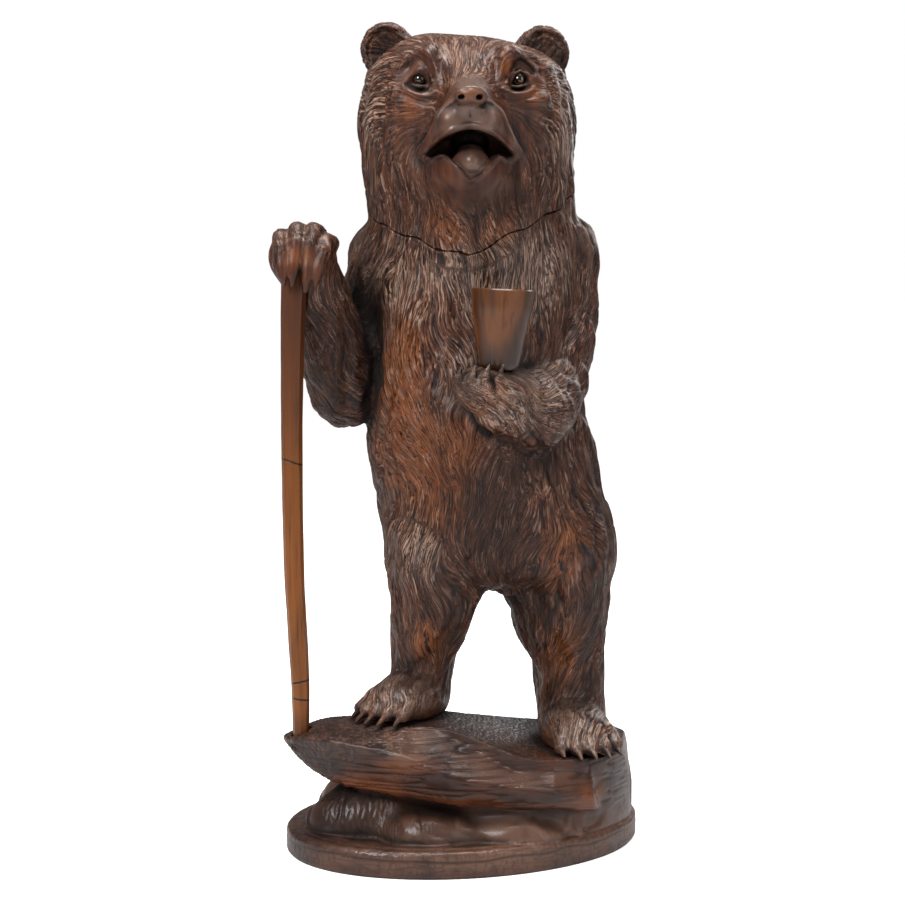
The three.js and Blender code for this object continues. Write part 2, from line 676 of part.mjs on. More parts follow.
// Thins a closed mesh to a number of triangles by merging the ends of the edges that matter least to its
// shape. Each vertex keeps the sum of squared distances to the planes of its triangles as ten numbers.
function thin({ points, faces }, target) {
  const forms = points.map(() => new Float64Array(10));
  const around = points.map(() => []);
  faces.forEach((face, f) => {
    const n = normal(points[face[0]], points[face[1]], points[face[2]]);
    const area = Math.hypot(n[0], n[1], n[2]) || 1e-12;
    const [x, y, z] = [n[0] / area, n[1] / area, n[2] / area];
    const [px, py, pz] = points[face[0]];
    const w = -(x * px + y * py + z * pz);
    const form = [x * x, x * y, x * z, x * w, y * y, y * z, y * w, z * z, z * w, w * w];
    for (const v of face) {
      around[v].push(f);
      for (let i = 0; i < 10; i++) forms[v][i] += form[i] * area;
    }
  });

  const q = new Float64Array(10);
  const error = (x, y, z) =>
    x * (q[0] * x + 2 * (q[1] * y + q[2] * z + q[3])) +
    y * (q[4] * y + 2 * (q[5] * z + q[6])) +
    z * (q[7] * z + 2 * q[8]) +
    q[9];
  const mergeOf = (a, b, stamp) => {
    for (let i = 0; i < 10; i++) q[i] = forms[a][i] + forms[b][i];
    const [ax, ay, az] = points[a];
    const [bx, by, bz] = points[b];
    let place = [(ax + bx) / 2, (ay + by) / 2, (az + bz) / 2];
    const long = (ax - bx) ** 2 + (ay - by) ** 2 + (az - bz) ** 2;
    const c0 = q[4] * q[7] - q[5] * q[5];
    const c1 = q[2] * q[5] - q[1] * q[7];
    const c2 = q[1] * q[5] - q[2] * q[4];
    const det = q[0] * c0 + q[1] * c1 + q[2] * c2;
    const size = q[0] + q[4] + q[7];
    if (det > 1e-5 * size * size * size) {
      const x = -(c0 * q[3] + c1 * q[6] + c2 * q[8]) / det;
      const y = -(c1 * q[3] + (q[0] * q[7] - q[2] * q[2]) * q[6] + (q[1] * q[2] - q[0] * q[5]) * q[8]) / det;
      const z = -(c2 * q[3] + (q[1] * q[2] - q[0] * q[5]) * q[6] + (q[0] * q[4] - q[1] * q[1]) * q[8]) / det;
      if ((x - place[0]) ** 2 + (y - place[1]) ** 2 + (z - place[2]) ** 2 < 4 * long) place = [x, y, z];
    }
    const cost = error(...place) + 1e-4 * long * size;
    return { cost, a, b, stamp, place };
  };

  const version = new Uint32Array(points.length);
  const queue = new Queue();
  const neighbours = (v) => {
    const found = [];
    for (const f of around[v]) for (const n of faces[f]) if (n !== v && !found.includes(n)) found.push(n);
    return found;
  };
  const turnsOver = (v, gone, place) => {
    for (const f of around[v]) {
      const [i, j, k] = faces[f];
      if (i === gone || j === gone || k === gone) continue;
      const before = normal(points[i], points[j], points[k]);
      const shifted = (corner) => (corner === v ? place : points[corner]);
      const after = normal(shifted(i), shifted(j), shifted(k));
      const dot = before[0] * after[0] + before[1] * after[1] + before[2] * after[2];
      if (dot <= 0.2 * Math.hypot(...before) * Math.hypot(...after)) return true;
    }
    return false;
  };
  for (let v = 0; v < points.length; v++)
    for (const n of neighbours(v)) if (v < n) queue.push(mergeOf(v, n, 0));

  let count = faces.length;
  while (count > target && queue.items.length) {
    const { a, b, stamp, place } = queue.pop();
    if (stamp !== version[a] + version[b] || !around[a].length || !around[b].length) continue;
    const nearA = neighbours(a);
    if (!nearA.includes(b) || neighbours(b).filter((n) => nearA.includes(n)).length !== 2) continue;
    if (turnsOver(a, b, place) || turnsOver(b, a, place)) continue;
    for (const f of around[b]) {
      if (!faces[f].includes(a)) {
        faces[f] = faces[f].map((v) => (v === b ? a : v));
        around[a].push(f);
        continue;
      }
      for (const v of faces[f]) if (v !== b) around[v] = around[v].filter((g) => g !== f);
      faces[f] = null;
      count--;
    }
    around[b] = [];
    points[a] = place;
    for (let i = 0; i < 10; i++) forms[a][i] += forms[b][i];
    version[a] += 1 + version[b];
    for (const n of neighbours(a)) queue.push(mergeOf(a, n, version[a] + version[n]));
  }
  return { points, faces: faces.filter((face) => face) };
}

function solidOf({ points, faces }) {
  const vertProperties = new Float32Array(points.flat());
  const triVerts = new Uint32Array(faces.flat());
  return new wasm.Manifold(new wasm.Mesh({ numProp: 3, vertProperties, triVerts }));
}

// A closed three.js geometry as a solid that can be joined and cut.
function solid(geometry) {
  const bare = geometry.clone();
  bare.deleteAttribute("normal");
  bare.deleteAttribute("uv");
  const merged = mergeVertices(bare, 1e-4);
  return new wasm.Manifold(
    new wasm.Mesh({
      numProp: 3,
      vertProperties: merged.attributes.position.array,
      triVerts: new Uint32Array(merged.index.array),
    }),
  );
}

function geometryOf(shape) {
  const { numProp, vertProperties, triVerts } = shape.getMesh();
  const geometry = new THREE.BufferGeometry();
  const buffer = new THREE.InterleavedBuffer(vertProperties, numProp);
  geometry.setAttribute("position", new THREE.InterleavedBufferAttribute(buffer, 3, 0));
  geometry.setIndex(new THREE.BufferAttribute(triVerts, 1));
  const flat = geometry.toNonIndexed();
  flat.computeVertexNormals();
  return flat;
}

// A three.js geometry moved or turned in place
const moved = (geometry, x, y, z) => geometry.clone().translate(x, y, z);

const middleOf = (ring) => [0, 1, 2].map((i) => ring.reduce((sum, point) => sum + point[i], 0) / ring.length);

// A closed tube of rings of points, from the first ring to the last, with flat ends.
function tubeOf(rings) {
  const sides = rings[0].length;
  const points = [...rings.flat(), middleOf(rings[0]), middleOf(rings.at(-1))];
  const faces = [];
  const index = (ring, side) => ring * sides + (side % sides);
  for (let side = 0; side < sides; side++) {
    faces.push([points.length - 2, index(0, side + 1), index(0, side)]);
    faces.push([points.length - 1, index(rings.length - 1, side), index(rings.length - 1, side + 1)]);
    for (let ring = 0; ring + 1 < rings.length; ring++) {
      const a = index(ring, side);
      const c = index(ring + 1, side + 1);
      faces.push([a, index(ring, side + 1), c], [a, c, index(ring + 1, side)]);
    }
  }
  return solidOf({ points, faces });
}

// A rod whittled with flat sides, through knots of x, y, z and radius. Slack widens it all round.
function rod(knots, sides, slack, endSlack = [0, 0]) {
  return tubeOf(
    lengthened(knots, endSlack).map(([x, y, z, r]) =>
      Array.from({ length: sides }, (_, i) => {
        const a = (2 * Math.PI * (i + 0.5)) / sides;
        return [x + (r + slack) * Math.cos(a), y + (r + slack) * Math.sin(a), z];
      }),
    ),
  );
}

// The same knots with the first one lowered and the last one raised.
function lengthened(knots, [below, above]) {
  return knots.map(([x, y, z, r], i) => {
    const shift = (i === knots.length - 1 ? above : 0) - (i === 0 ? below : 0);
    return [x, y, z + shift, r];
  });
}

// A solid of revolution about Z from a profile of radius and height that starts and ends on the axis.
function turned(profile, sides) {
  const lathe = new THREE.LatheGeometry(profile.map(([r, z]) => new THREE.Vector2(r, z)), sides);
  return lathe.rotateX(Math.PI / 2);
}

// Everything below the seam between body and head, raised by a lift. The seam runs level round the back
// and the sides and dips to a point under the chin, and small locks of fur make its edge wavy.
function belowSeam(lift) {
  const height = (angle) => {
    const turn = angle - radians(seam.front);
    const fromFront = Math.abs(Math.atan2(Math.sin(turn), Math.cos(turn)));
    const dip = seam.dip * Math.max(0, 1 - fromFront / radians(seam.dipHalfAngle));
    const locks = Math.sin(seam.locks * angle) + 0.6 * Math.sin(5 * angle + 1);
    return seam.back - dip + seam.slant * Math.cos(angle) + seam.lockRise * locks + lift;
  };
  const ring = (radius, up) =>
    Array.from({ length: seam.samples }, (_, i) => {
      const a = (2 * Math.PI * i) / seam.samples;
      return [bore.x + radius * Math.cos(a), bore.y + radius * Math.sin(a), up(height(a))];
    });
  return tubeOf([
    ring(seam.span, () => 0),
    ring(seam.span, (z) => z + seam.clear),
    ring(seam.neck + 8, (z) => z + seam.clear),
    ring(seam.neck, (z) => z),
    ring(bore.radius - 4, (z) => z),
  ]);
}

// Everything below the trodden rock's top, raised by a lift.
function belowRock(lift) {
  const reach = 90;
  const outline = new THREE.Shape();
  outline.moveTo(-reach, -30);
  outline.lineTo(-reach, rockTop(-reach) + lift);
  const steps = 10;
  for (let i = 0; i <= steps; i++) {
    const x = rock.fallFrom + ((rock.fallTo - rock.fallFrom) * i) / steps;
    outline.lineTo(x, rockTop(x) + lift);
  }
  outline.lineTo(reach, rockTop(reach) + lift);
  outline.lineTo(reach, -30);
  const block = new THREE.ExtrudeGeometry(outline, { depth: 2 * reach, bevelEnabled: false });
  return solid(block.translate(0, 0, -reach).rotateX(Math.PI / 2));
}

function cupShape(slack) {
  const { foot, height, footRadius, rimRadius, wall, floor } = cup;
  const outer = [
    [0, -slack],
    [footRadius - 1 + slack, -slack],
    [footRadius + slack, 1.2],
    [rimRadius - 0.7 + slack, height * 0.75],
    [rimRadius + slack, height + slack],
  ];
  const inner = [
    [rimRadius - wall, height],
    [rimRadius - wall - 0.9, height * 0.7],
    [footRadius - wall, floor + 1.5],
    [footRadius - wall - 1.5, floor],
    [0, floor],
  ];
  const profile = slack ? [...outer, [0, height + slack]] : [...outer, ...inner];
  return turned(profile, cup.sides).rotateY(radians(cup.tilt)).translate(cup.x, cup.y, foot);
}

const eyePlace = (side) => [middle + side * eye.spread, eye.y, eye.z];
const eyeShape = (slack) => new THREE.SphereGeometry(eye.radius + slack, 10, 6);

const bearMesh = solidOf(thin(surface(figure, [-84, -78, 24], [76, 56, 338], grid.bear), triangles.bear));

function makeBody() {
  const boreShape = turned(
    [
      [0, bore.floor],
      [bore.radius - 3, bore.floor],
      [bore.radius, bore.floor + 3],
      [bore.radius, bore.mouth],
      [0, bore.mouth],
    ],
    bore.sides,
  );
  return bearMesh
    .intersect(belowSeam(-fitGap / 2))
    .subtract(solid(moved(boreShape, bore.x, bore.y, 0)))
    .subtract(belowRock(fitGap))
    .subtract(solid(cupShape(fitGap)))
    .subtract(rod(staff.knots, staff.sides, fitGap, [0, fitGap]));
}

function makeHead() {
  const plug = turned(
    [
      [0, spigot.dishTop],
      [spigot.dishRadius * 0.6, spigot.dishTop - 4],
      [spigot.dishRadius, spigot.foot],
      [spigot.radius - 0.8, spigot.foot],
      [spigot.radius, spigot.foot + 0.8],
      [spigot.radius, bore.mouth],
      [0, bore.mouth],
    ],
    bore.sides,
  );
  const dish = turned(
    [
      [0, spigot.foot - 5],
      [spigot.dishRadius, spigot.foot - 5],
      [spigot.dishRadius, spigot.foot],
      [spigot.dishRadius * 0.6, spigot.dishTop - 4],
      [0, spigot.dishTop],
    ],
    bore.sides,
  );
  let shape = bearMesh.subtract(belowSeam(fitGap / 2)).add(solid(moved(plug, bore.x, bore.y, 0)));
  shape = shape.subtract(solid(moved(dish, bore.x, bore.y, 0)));
  for (const side of [-1, 1]) shape = shape.subtract(solid(moved(eyeShape(fitGap), ...eyePlace(side))));
  return shape;
}

function makeBase() {
  const socket = rod(staff.knots, staff.sides, fitGap, [fitGap, 0]);
  const baseMesh = solidOf(thin(surface(base, [-84, -76, -5], [84, 76, 60], grid.base), triangles.base));
  return baseMesh.intersect(belowRock(0)).subtract(socket);
}

const darkWood = { color: 0x3a2117, roughness: 0.45 };
const paleWood = { color: 0x6b3a1c, roughness: 0.4 };
const glass = { color: 0x120a06, roughness: 0.1 };

const model = new THREE.Group();
function add(name, shape, finish) {
  const geometry = shape.isBufferGeometry ? shape : geometryOf(shape);
  const mesh = new THREE.Mesh(geometry, new THREE.MeshStandardMaterial({ ...finish, metalness: 0 }));
  mesh.name = name;
  model.add(mesh);
  return mesh;
}

add("bear_body", makeBody(), darkWood);
add("bear_head_lid", makeHead(), darkWood);
add("glass_eye_right", eyeShape(0), glass).position.set(...eyePlace(-1));
add("glass_eye_left", eyeShape(0), glass).position.set(...eyePlace(1));
add("drinking_cup", cupShape(0), paleWood);
add("walking_staff", rod(staff.knots, staff.sides, 0), paleWood);
add("rock_base", makeBase(), darkWood);

// The plinth's centre becomes the origin.
model.position.set(-plinth.x, -plinth.y, 0);

export default model;
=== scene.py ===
# Carved bear tobacco jar: the finished surfaces, built round the fixed frame.
# Forms are worked out in millimetres in the bear's own frame and placed in the row's frame in metres.
import math
from concurrent.futures import ThreadPoolExecutor

import bmesh
import bpy
import numpy as np
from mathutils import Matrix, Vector


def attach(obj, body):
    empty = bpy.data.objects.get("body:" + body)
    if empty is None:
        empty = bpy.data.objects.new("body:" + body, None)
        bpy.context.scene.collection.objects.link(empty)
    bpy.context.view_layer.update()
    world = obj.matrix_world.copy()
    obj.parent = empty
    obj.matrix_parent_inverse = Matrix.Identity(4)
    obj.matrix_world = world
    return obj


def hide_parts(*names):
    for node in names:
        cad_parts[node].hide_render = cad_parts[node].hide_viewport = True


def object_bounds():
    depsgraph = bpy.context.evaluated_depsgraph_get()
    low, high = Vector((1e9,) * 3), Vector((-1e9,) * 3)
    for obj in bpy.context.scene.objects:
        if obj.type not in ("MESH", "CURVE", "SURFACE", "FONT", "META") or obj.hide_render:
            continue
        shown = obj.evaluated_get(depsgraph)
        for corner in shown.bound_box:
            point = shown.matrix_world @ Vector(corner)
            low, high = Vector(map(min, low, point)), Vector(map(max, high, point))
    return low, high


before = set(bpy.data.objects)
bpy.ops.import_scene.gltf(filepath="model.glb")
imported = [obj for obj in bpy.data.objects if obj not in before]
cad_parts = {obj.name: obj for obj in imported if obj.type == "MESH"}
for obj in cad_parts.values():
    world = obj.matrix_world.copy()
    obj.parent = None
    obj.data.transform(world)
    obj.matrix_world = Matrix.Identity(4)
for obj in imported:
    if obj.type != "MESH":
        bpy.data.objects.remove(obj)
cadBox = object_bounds()
scene = bpy.context.scene
print("frame loaded")


def placed(name, data):  # a new object at the origin
    made = bpy.data.objects.new(name, data)
    scene.collection.objects.link(made)
    return made


rowShift = np.array([-1, 10.4, 0], np.float32)  # from the bear's frame to the row's, in millimetres

# Distances to simple forms. A form is a function of three arrays x, y and z, negative inside.


def smoothStep(low, high, value):
    t = np.clip((value - low) / (high - low), 0, 1)
    return t * t * (3 - 2 * t)


def join(a, b, width):  # with a fillet of about that width
    h = np.maximum(width - np.abs(a - b), 0) / width
    return np.minimum(a, b) - h * h * (width / 4)


def cut(a, b, width):
    return -join(-a, b, width)


def common(a, b, width):
    return -join(-a, -b, width)


def turnOf(yaw, pitch, roll):  # about Z, then X, then Y
    a, b, c = (math.radians(angle) for angle in (yaw, pitch, roll))
    aboutZ = np.array([[math.cos(a), -math.sin(a), 0], [math.sin(a), math.cos(a), 0], [0, 0, 1]])
    aboutX = np.array([[1, 0, 0], [0, math.cos(b), -math.sin(b)], [0, math.sin(b), math.cos(b)]])
    aboutY = np.array([[math.cos(c), 0, math.sin(c)], [0, 1, 0], [-math.sin(c), 0, math.cos(c)]])
    return aboutZ @ aboutX @ aboutY


def oval(centre, radii, yaw=0, pitch=0, roll=0):
    rows = [[float(v) for v in row] for row in turnOf(yaw, pitch, roll).T / np.array(radii)[:, None]]
    cx, cy, cz = centre

    def form(x, y, z):
        dx, dy, dz = x - cx, y - cy, z - cz
        parts = [r[0] * dx + r[1] * dy + r[2] * dz for r in rows]
        near = np.sqrt(sum(p * p for p in parts)) + 1e-6
        slope = np.sqrt(sum(p * p / (r * r) for p, r in zip(parts, radii))) + 1e-9
        return near * (near - 1) / slope

    return form


def limb(knots):  # a tapering rod with round ends, through knots of x, y, z and radius
    def form(x, y, z):
        nearest = None
        for (ax, ay, az, ar), (bx, by, bz, br) in zip(knots, knots[1:]):
            dx, dy, dz = bx - ax, by - ay, bz - az
            px, py, pz = x - ax, y - ay, z - az
            t = np.clip((px * dx + py * dy + pz * dz) / (dx * dx + dy * dy + dz * dz), 0, 1)
            away = np.sqrt((px - t * dx) ** 2 + (py - t * dy) ** 2 + (pz - t * dz) ** 2) - ar - t * (br - ar)
            nearest = away if nearest is None else np.minimum(nearest, away)
        return nearest

    return form


def trunk(stations):  # height, centre x, half width, front y and back y, with cubics between
    table = np.array(stations, float)
    heights = table[:, 0]
    below = np.vstack([table[:1], table[:-1]])
    above = np.vstack([table[1:], table[-1:]])
    slopes = (above - below) / (above[:, :1] - below[:, :1])
    at = np.linspace(heights[0], heights[-1], 400)
    i = np.clip(np.searchsorted(heights[1:-1], at), 0, len(heights) - 2)
    step = (heights[i + 1] - heights[i])[:, None]
    t = (at - heights[i])[:, None] / step
    rest = 1 - t
    curve = rest * rest * (1 + 2 * t) * table[i] + t * t * (3 - 2 * t) * table[i + 1]
    curve = curve + t * rest * step * (rest * slopes[i] - t * slopes[i + 1])

    def form(x, y, z):
        centre, half, front, back = (np.interp(z, at, curve[:, c]).astype(np.float32) for c in (1, 2, 3, 4))
        deep = (back - front) / 2
        u = (x - centre) / half
        v = (y - (front + back) / 2) / deep
        side = (np.sqrt(u * u + v * v) - 1) * np.minimum(half, deep)
        return common(side, np.maximum(heights[0] - z, z - heights[-1]), 14)

    return form


def gather(forms):  # each form after the first has its own fillet
    def form(x, y, z):
        d = forms[0][0](x, y, z)
        for other, width in forms[1:]:
            d = join(d, other(x, y, z), width)
        return d

    return form


# The bear's body

torso = trunk(
    [
        (101, 17, 30, -20, 32),
        (110, 16.8, 43.5, -33, 42),
        (121, 15.8, 46, -39, 45),
        (134, 13.1, 46.4, -42, 45.5),
        (146, 10.6, 46.4, -43.5, 44),
        (158, 8.7, 46.4, -43.5, 42),
        (178, 6, 43.5, -41.5, 41),
        (200, 5, 41.5, -38, 41),
        (222, 5, 42.5, -36.5, 41),
        (240, 5, 43, -36, 41),
        (252, 5, 41.5, -36, 40),
        (266, 4.5, 39, -37, 38),
        (280, 4, 34, -30, 33),
    ]
)
rightThigh = oval((-9, 4, 112), (19.5, 31, 34), pitch=-8)
leftThigh = oval((40.6, 10, 108), (20.8, 31, 36), pitch=-6)
tail = oval((6, 45, 122), (7, 7, 10), pitch=20)
rightLegKnots = [(-8, -15, 124, 21), (-11.5, -16.5, 99, 16.5), (-15.5, -12, 76, 13), (-16.5, -9, 60, 12.2)]
leftLegKnots = [(37.6, -10, 122, 22), (39.6, -3, 96, 19), (44, 0, 74, 15), (45.4, -3, 50, 14)]
rightFootPlan = dict(x=-20.5, y=-23, z=60.5, yaw=40, length=22, width=13.5, height=10.5, sole=54.2)
leftFootPlan = dict(x=45.8, y=-17, z=46.5, yaw=-14, length=24, width=14, height=11.5, sole=40.6)


def foot(x, y, z, yaw, length, width, height, sole):  # five toes and their claws
    a = math.radians(yaw)

    def place(across, ahead, up):
        return (
            x + across * math.cos(a) - ahead * math.sin(a),
            y - across * math.sin(a) - ahead * math.cos(a),
            up,
        )

    forms = [(oval(place(0, 2, z), (width, length * 0.8, height), yaw=-yaw), 0)]
    for i in range(5):
        side = i / 2 - 1
        reach = length * (1 - 0.17 * side * side)
        across = side * width * 0.8
        start = (*place(across * 0.5, 0, z), width * 0.3)
        knuckle = (*place(across * 0.85, reach * 0.62, z + height * 0.12), width * 0.27)
        tip = (*place(across, reach * 0.93, z - height * 0.22), width * 0.22)
        clawTip = (*place(across * 1.04, reach * 1.22, sole + 0.7), 0.6)
        forms.append((limb([start, knuckle, tip]), 1.6))
        forms.append((limb([(*tip[:3], width * 0.13), clawTip]), 0.6))
    return gather(forms)


staffArmKnots = [
    (-28.3, 4, 235, 17.8),
    (-35, 3, 208, 14.8),
    (-46.2, -4, 184, 15.8),
    (-50.5, -14, 197, 14),
    (-55.5, -21, 218, 12.8),
    (-60.5, -26, 235, 11),
]
staffPalm = oval((-62.6, -30, 236.6), (12.6, 11.6, 11.8))
staffToes = [
    # x and z of the knuckle, x and z of the tip of the claw
    (-69.8, 244, -68.2, 225.4),
    (-63.6, 246.6, -64.8, 225.2),
    (-57.4, 246.4, -59.8, 223.4),
    (-52.6, 242.4, -56, 225.4),
]


def staffFingers():
    forms = []
    for x, z, tipX, tipZ in staffToes:

        def down(share, y, radius):
            return (x + (tipX - x) * share, y, z + (tipZ - z) * share, radius)

        finger = [(x + 1, -26, z - 1, 4), down(0, -35.5, 3.5), down(0.25, -41, 3.5), down(0.66, -43.6, 2.8)]
        claw = [down(0.6, -43.4, 2.9), down(0.8, -44.6, 2), down(1, -44, 0.5)]
        forms += [(limb(finger), 0.7), (limb(claw), 0.3)]
    return forms


cupArmKnots = [
    (38, 4, 238, 18),
    (41.3, 2, 212, 14),
    (37, -12, 186, 13.6),
    (28, -34, 177, 16),
    (16, -46.5, 181.5, 12.8),
    (7, -52.5, 185.5, 8.6),
]
cupPalm = oval((8, -54, 187), (11.5, 11, 7.2))


def cupFingers():
    forms = []
    for i in range(4):
        x, y = -1.2 + i * 5.1, -58.2 - i * 2
        tip = (x, y - 2, 190.6)
        finger = [(x + 8, y + 9, 180, 4), (x + 2, y, 185, 3), (*tip, 2)]
        claw = [(*tip, 1.5), (x + 0.6, y - 2.2, 193.4, 1.1), (x + 1.4, y - 1.4, 195.8, 0.35)]
        forms += [(limb(finger), 0.8), (limb(claw), 0.3)]
    return forms


staffArm = gather([(limb(staffArmKnots), 0), (staffPalm, 5), *staffFingers()])
cupArm = gather([(limb(cupArmKnots), 0), (cupPalm, 4), *cupFingers()])
legs = gather([(limb(rightLegKnots), 0), (limb(leftLegKnots), 1)])
feet = gather([(foot(**rightFootPlan), 0), (foot(**leftFootPlan), 1)])
hips = gather([(torso, 0), (rightThigh, 8), (leftThigh, 8), (tail, 5)])
trunkAndLegs = gather(
    [
        (hips, 0),
        (limb(rightLegKnots), 9),
        (limb(leftLegKnots), 9),
        (foot(**rightFootPlan), 6),
        (foot(**leftFootPlan), 6),
    ]
)

arch = oval((12, -10, 84), (8.2, 70, 18.4))  # the opening between the legs

# Its head, with the nose lifted

middle = 3.1  # x of the plane that halves the face
headMiddle = 1.7  # and the skull, because the bear looks slightly to its left
eye = dict(radius=2.5, spread=19.3, y=-27.5, z=305)
mouth = dict(
    halfWidth=17.6,
    top=284.2,
    arch=9.6,
    lip=268.4,
    lipPeak=6,
    peakAt=10.6,
    cornerDrop=2.2,
    slope=0.12,
    throat=7.6,  # half the width at the back
    throatAt=-37,
    back=-31,
)


def muzzlePad(side):
    return oval((middle + side * 5.2, -52, 286.5), (7.6, 10, 7.4), yaw=side * 22, roll=side * -14)


def bothSides(form, width):
    return [(form(-1), width), (form(1), width)]


def earOval(side, ahead, radii):
    place = (headMiddle - 0.5 + side * 30.7, 1 - ahead, 318.6 - side * 0.7)
    return oval(place, radii, yaw=side * -14, roll=side * 18)


def sideLimb(side, knots):  # each knot starts with how far it lies from the middle of the face
    return limb([(middle + side * away, *rest) for away, *rest in knots])


def eyeCentre(side):
    return middle + side * eye["spread"], eye["y"], eye["z"]


lipEnd = [(6, -54, 283.5, 5), (12, -50, 281, 4.6), (17, -40, 276.5, 3.6)]  # to the corner of the mouth
outerBrow = [(15, -25.5, 315, 3.2), (23, -21, 312, 3.4), (28.5, -14, 305, 3)]


headAdded = gather(
    [
        (oval((headMiddle, -2, 290.5), (36.5, 34, 30.5)), 0),
        (oval((headMiddle, -4, 307), (34, 26, 14.6)), 14),
        (oval((-15, -4, 309), (12, 15, 13.2)), 12),
        (oval((headMiddle + 1, 0, 267), (38, 36, 27)), 14),
        (oval((middle, -25, 250), (22, 14, 24), pitch=-8), 12),
        *bothSides(lambda s: oval((headMiddle + 0.7 + s * 24.3, -3, 289), (16.8, 24, 24), roll=s * 5), 14),
        (limb([(middle, -18, 290, 21), (middle, -42, 285.5, 12.5)]), 10),
        (limb([(middle, -26, 302.5, 10), (middle, -45, 297.5, 7.5), (middle, -59, 293.5, 5.4)]), 7),
        *bothSides(muzzlePad, 4),
        *bothSides(lambda s: sideLimb(s, lipEnd), 4),
        (oval((middle, -36, 267.5), (15.5, 17, 8.5), pitch=-12), 7),
        (limb([(middle, -45, 265, 8), (middle, -33, 250, 11)]), 9),
        *bothSides(lambda s: oval((middle + s * 14, -26.5, 311), (3.6, 4.6, 6.6), roll=s * 12), 4),
        *bothSides(lambda s: sideLimb(s, outerBrow), 5),
        *bothSides(lambda s: oval((middle + s * 21, -28, 296.5), (8, 5, 6), roll=s * 20), 7),
        *bothSides(lambda s: earOval(s, 0, (11.2, 5.6, 11.8)), 3.5),
    ]
)


def socket(side):  # rising to a point above the eye
    x, y, z = eyeCentre(side)
    return limb([(x, y - 4.6, z - 0.4, 4.6), (x + side * 0.6, y - 3.4, z + 5, 1.2)])


def eyelids(side):
    x, y, z = eyeCentre(side)
    inner = (x - side * 4.4, y - 1.6, z - 2.8, 0.8)
    outer = (x + side * 4.6, y + 0.6, z - 1.2, 0.8)
    upper = [
        (x - side * 2.2, y - 2.2, z + 1.8, 1),
        (x + side * 0.3, y - 2.3, z + 3.2, 1),
        (x + side * 2.9, y - 1.2, z + 1.7, 1),
    ]
    lower = (x - side * 0.3, y - 2, z - 3.2, 1)
    return limb([inner, *upper, outer]), limb([inner, lower, outer])


def nostril(side):
    return oval((middle + side * 3.3, -66, 294.5), (1.3, 3.4, 0.95), roll=side * 24, pitch=20)


def mouthSpace(x, y, z):  # an arch above, a lip that sags in the middle below, and walls that close in behind
    away = np.abs(x - middle)
    level = z - mouth["slope"] * (y + 52)
    top = mouth["top"] - mouth["arch"] * (away / mouth["halfWidth"]) ** 2
    lip = mouth["lip"] + mouth["lipPeak"] * smoothStep(0.5, mouth["peakAt"], away)
    lip = lip - mouth["cornerDrop"] * smoothStep(mouth["peakAt"], mouth["halfWidth"], away)
    wall = np.minimum(mouth["halfWidth"], mouth["throat"] + 1.5 * np.maximum(0, mouth["throatAt"] - y))
    inside = common(common(level - top, lip - level, 1.5) * 0.8, (away - wall) * 0.6, 4)
    return common(inside, y - mouth["back"], 5)


tongueKnots = [(0.4, -34, 273, 6.6), (0.4, -46, 273.4, 5.6), (0.7, -54.5, 271.4, 3.6)]
tongue = gather(
    [
        (sideLimb(1, tongueKnots), 0),
        (oval((middle + 0.4, -48.5, 271.6), (7.4, 7.5, 4.2), pitch=-16), 2.5),
    ]
)
nosePad = oval((middle + 0.3, -62.5, 295.4), (6.1, 4.6, 3.7), pitch=-14)
faceCuts = [*bothSides(lambda s: earOval(s, 5.4, (8.9, 3, 9.5)), 1), *bothSides(socket, 2.4)]
allLids = [lid for side in (-1, 1) for lid in eyelids(side)]

# Fine lines of the face: how far they stand out, half their width, and their path in x and z

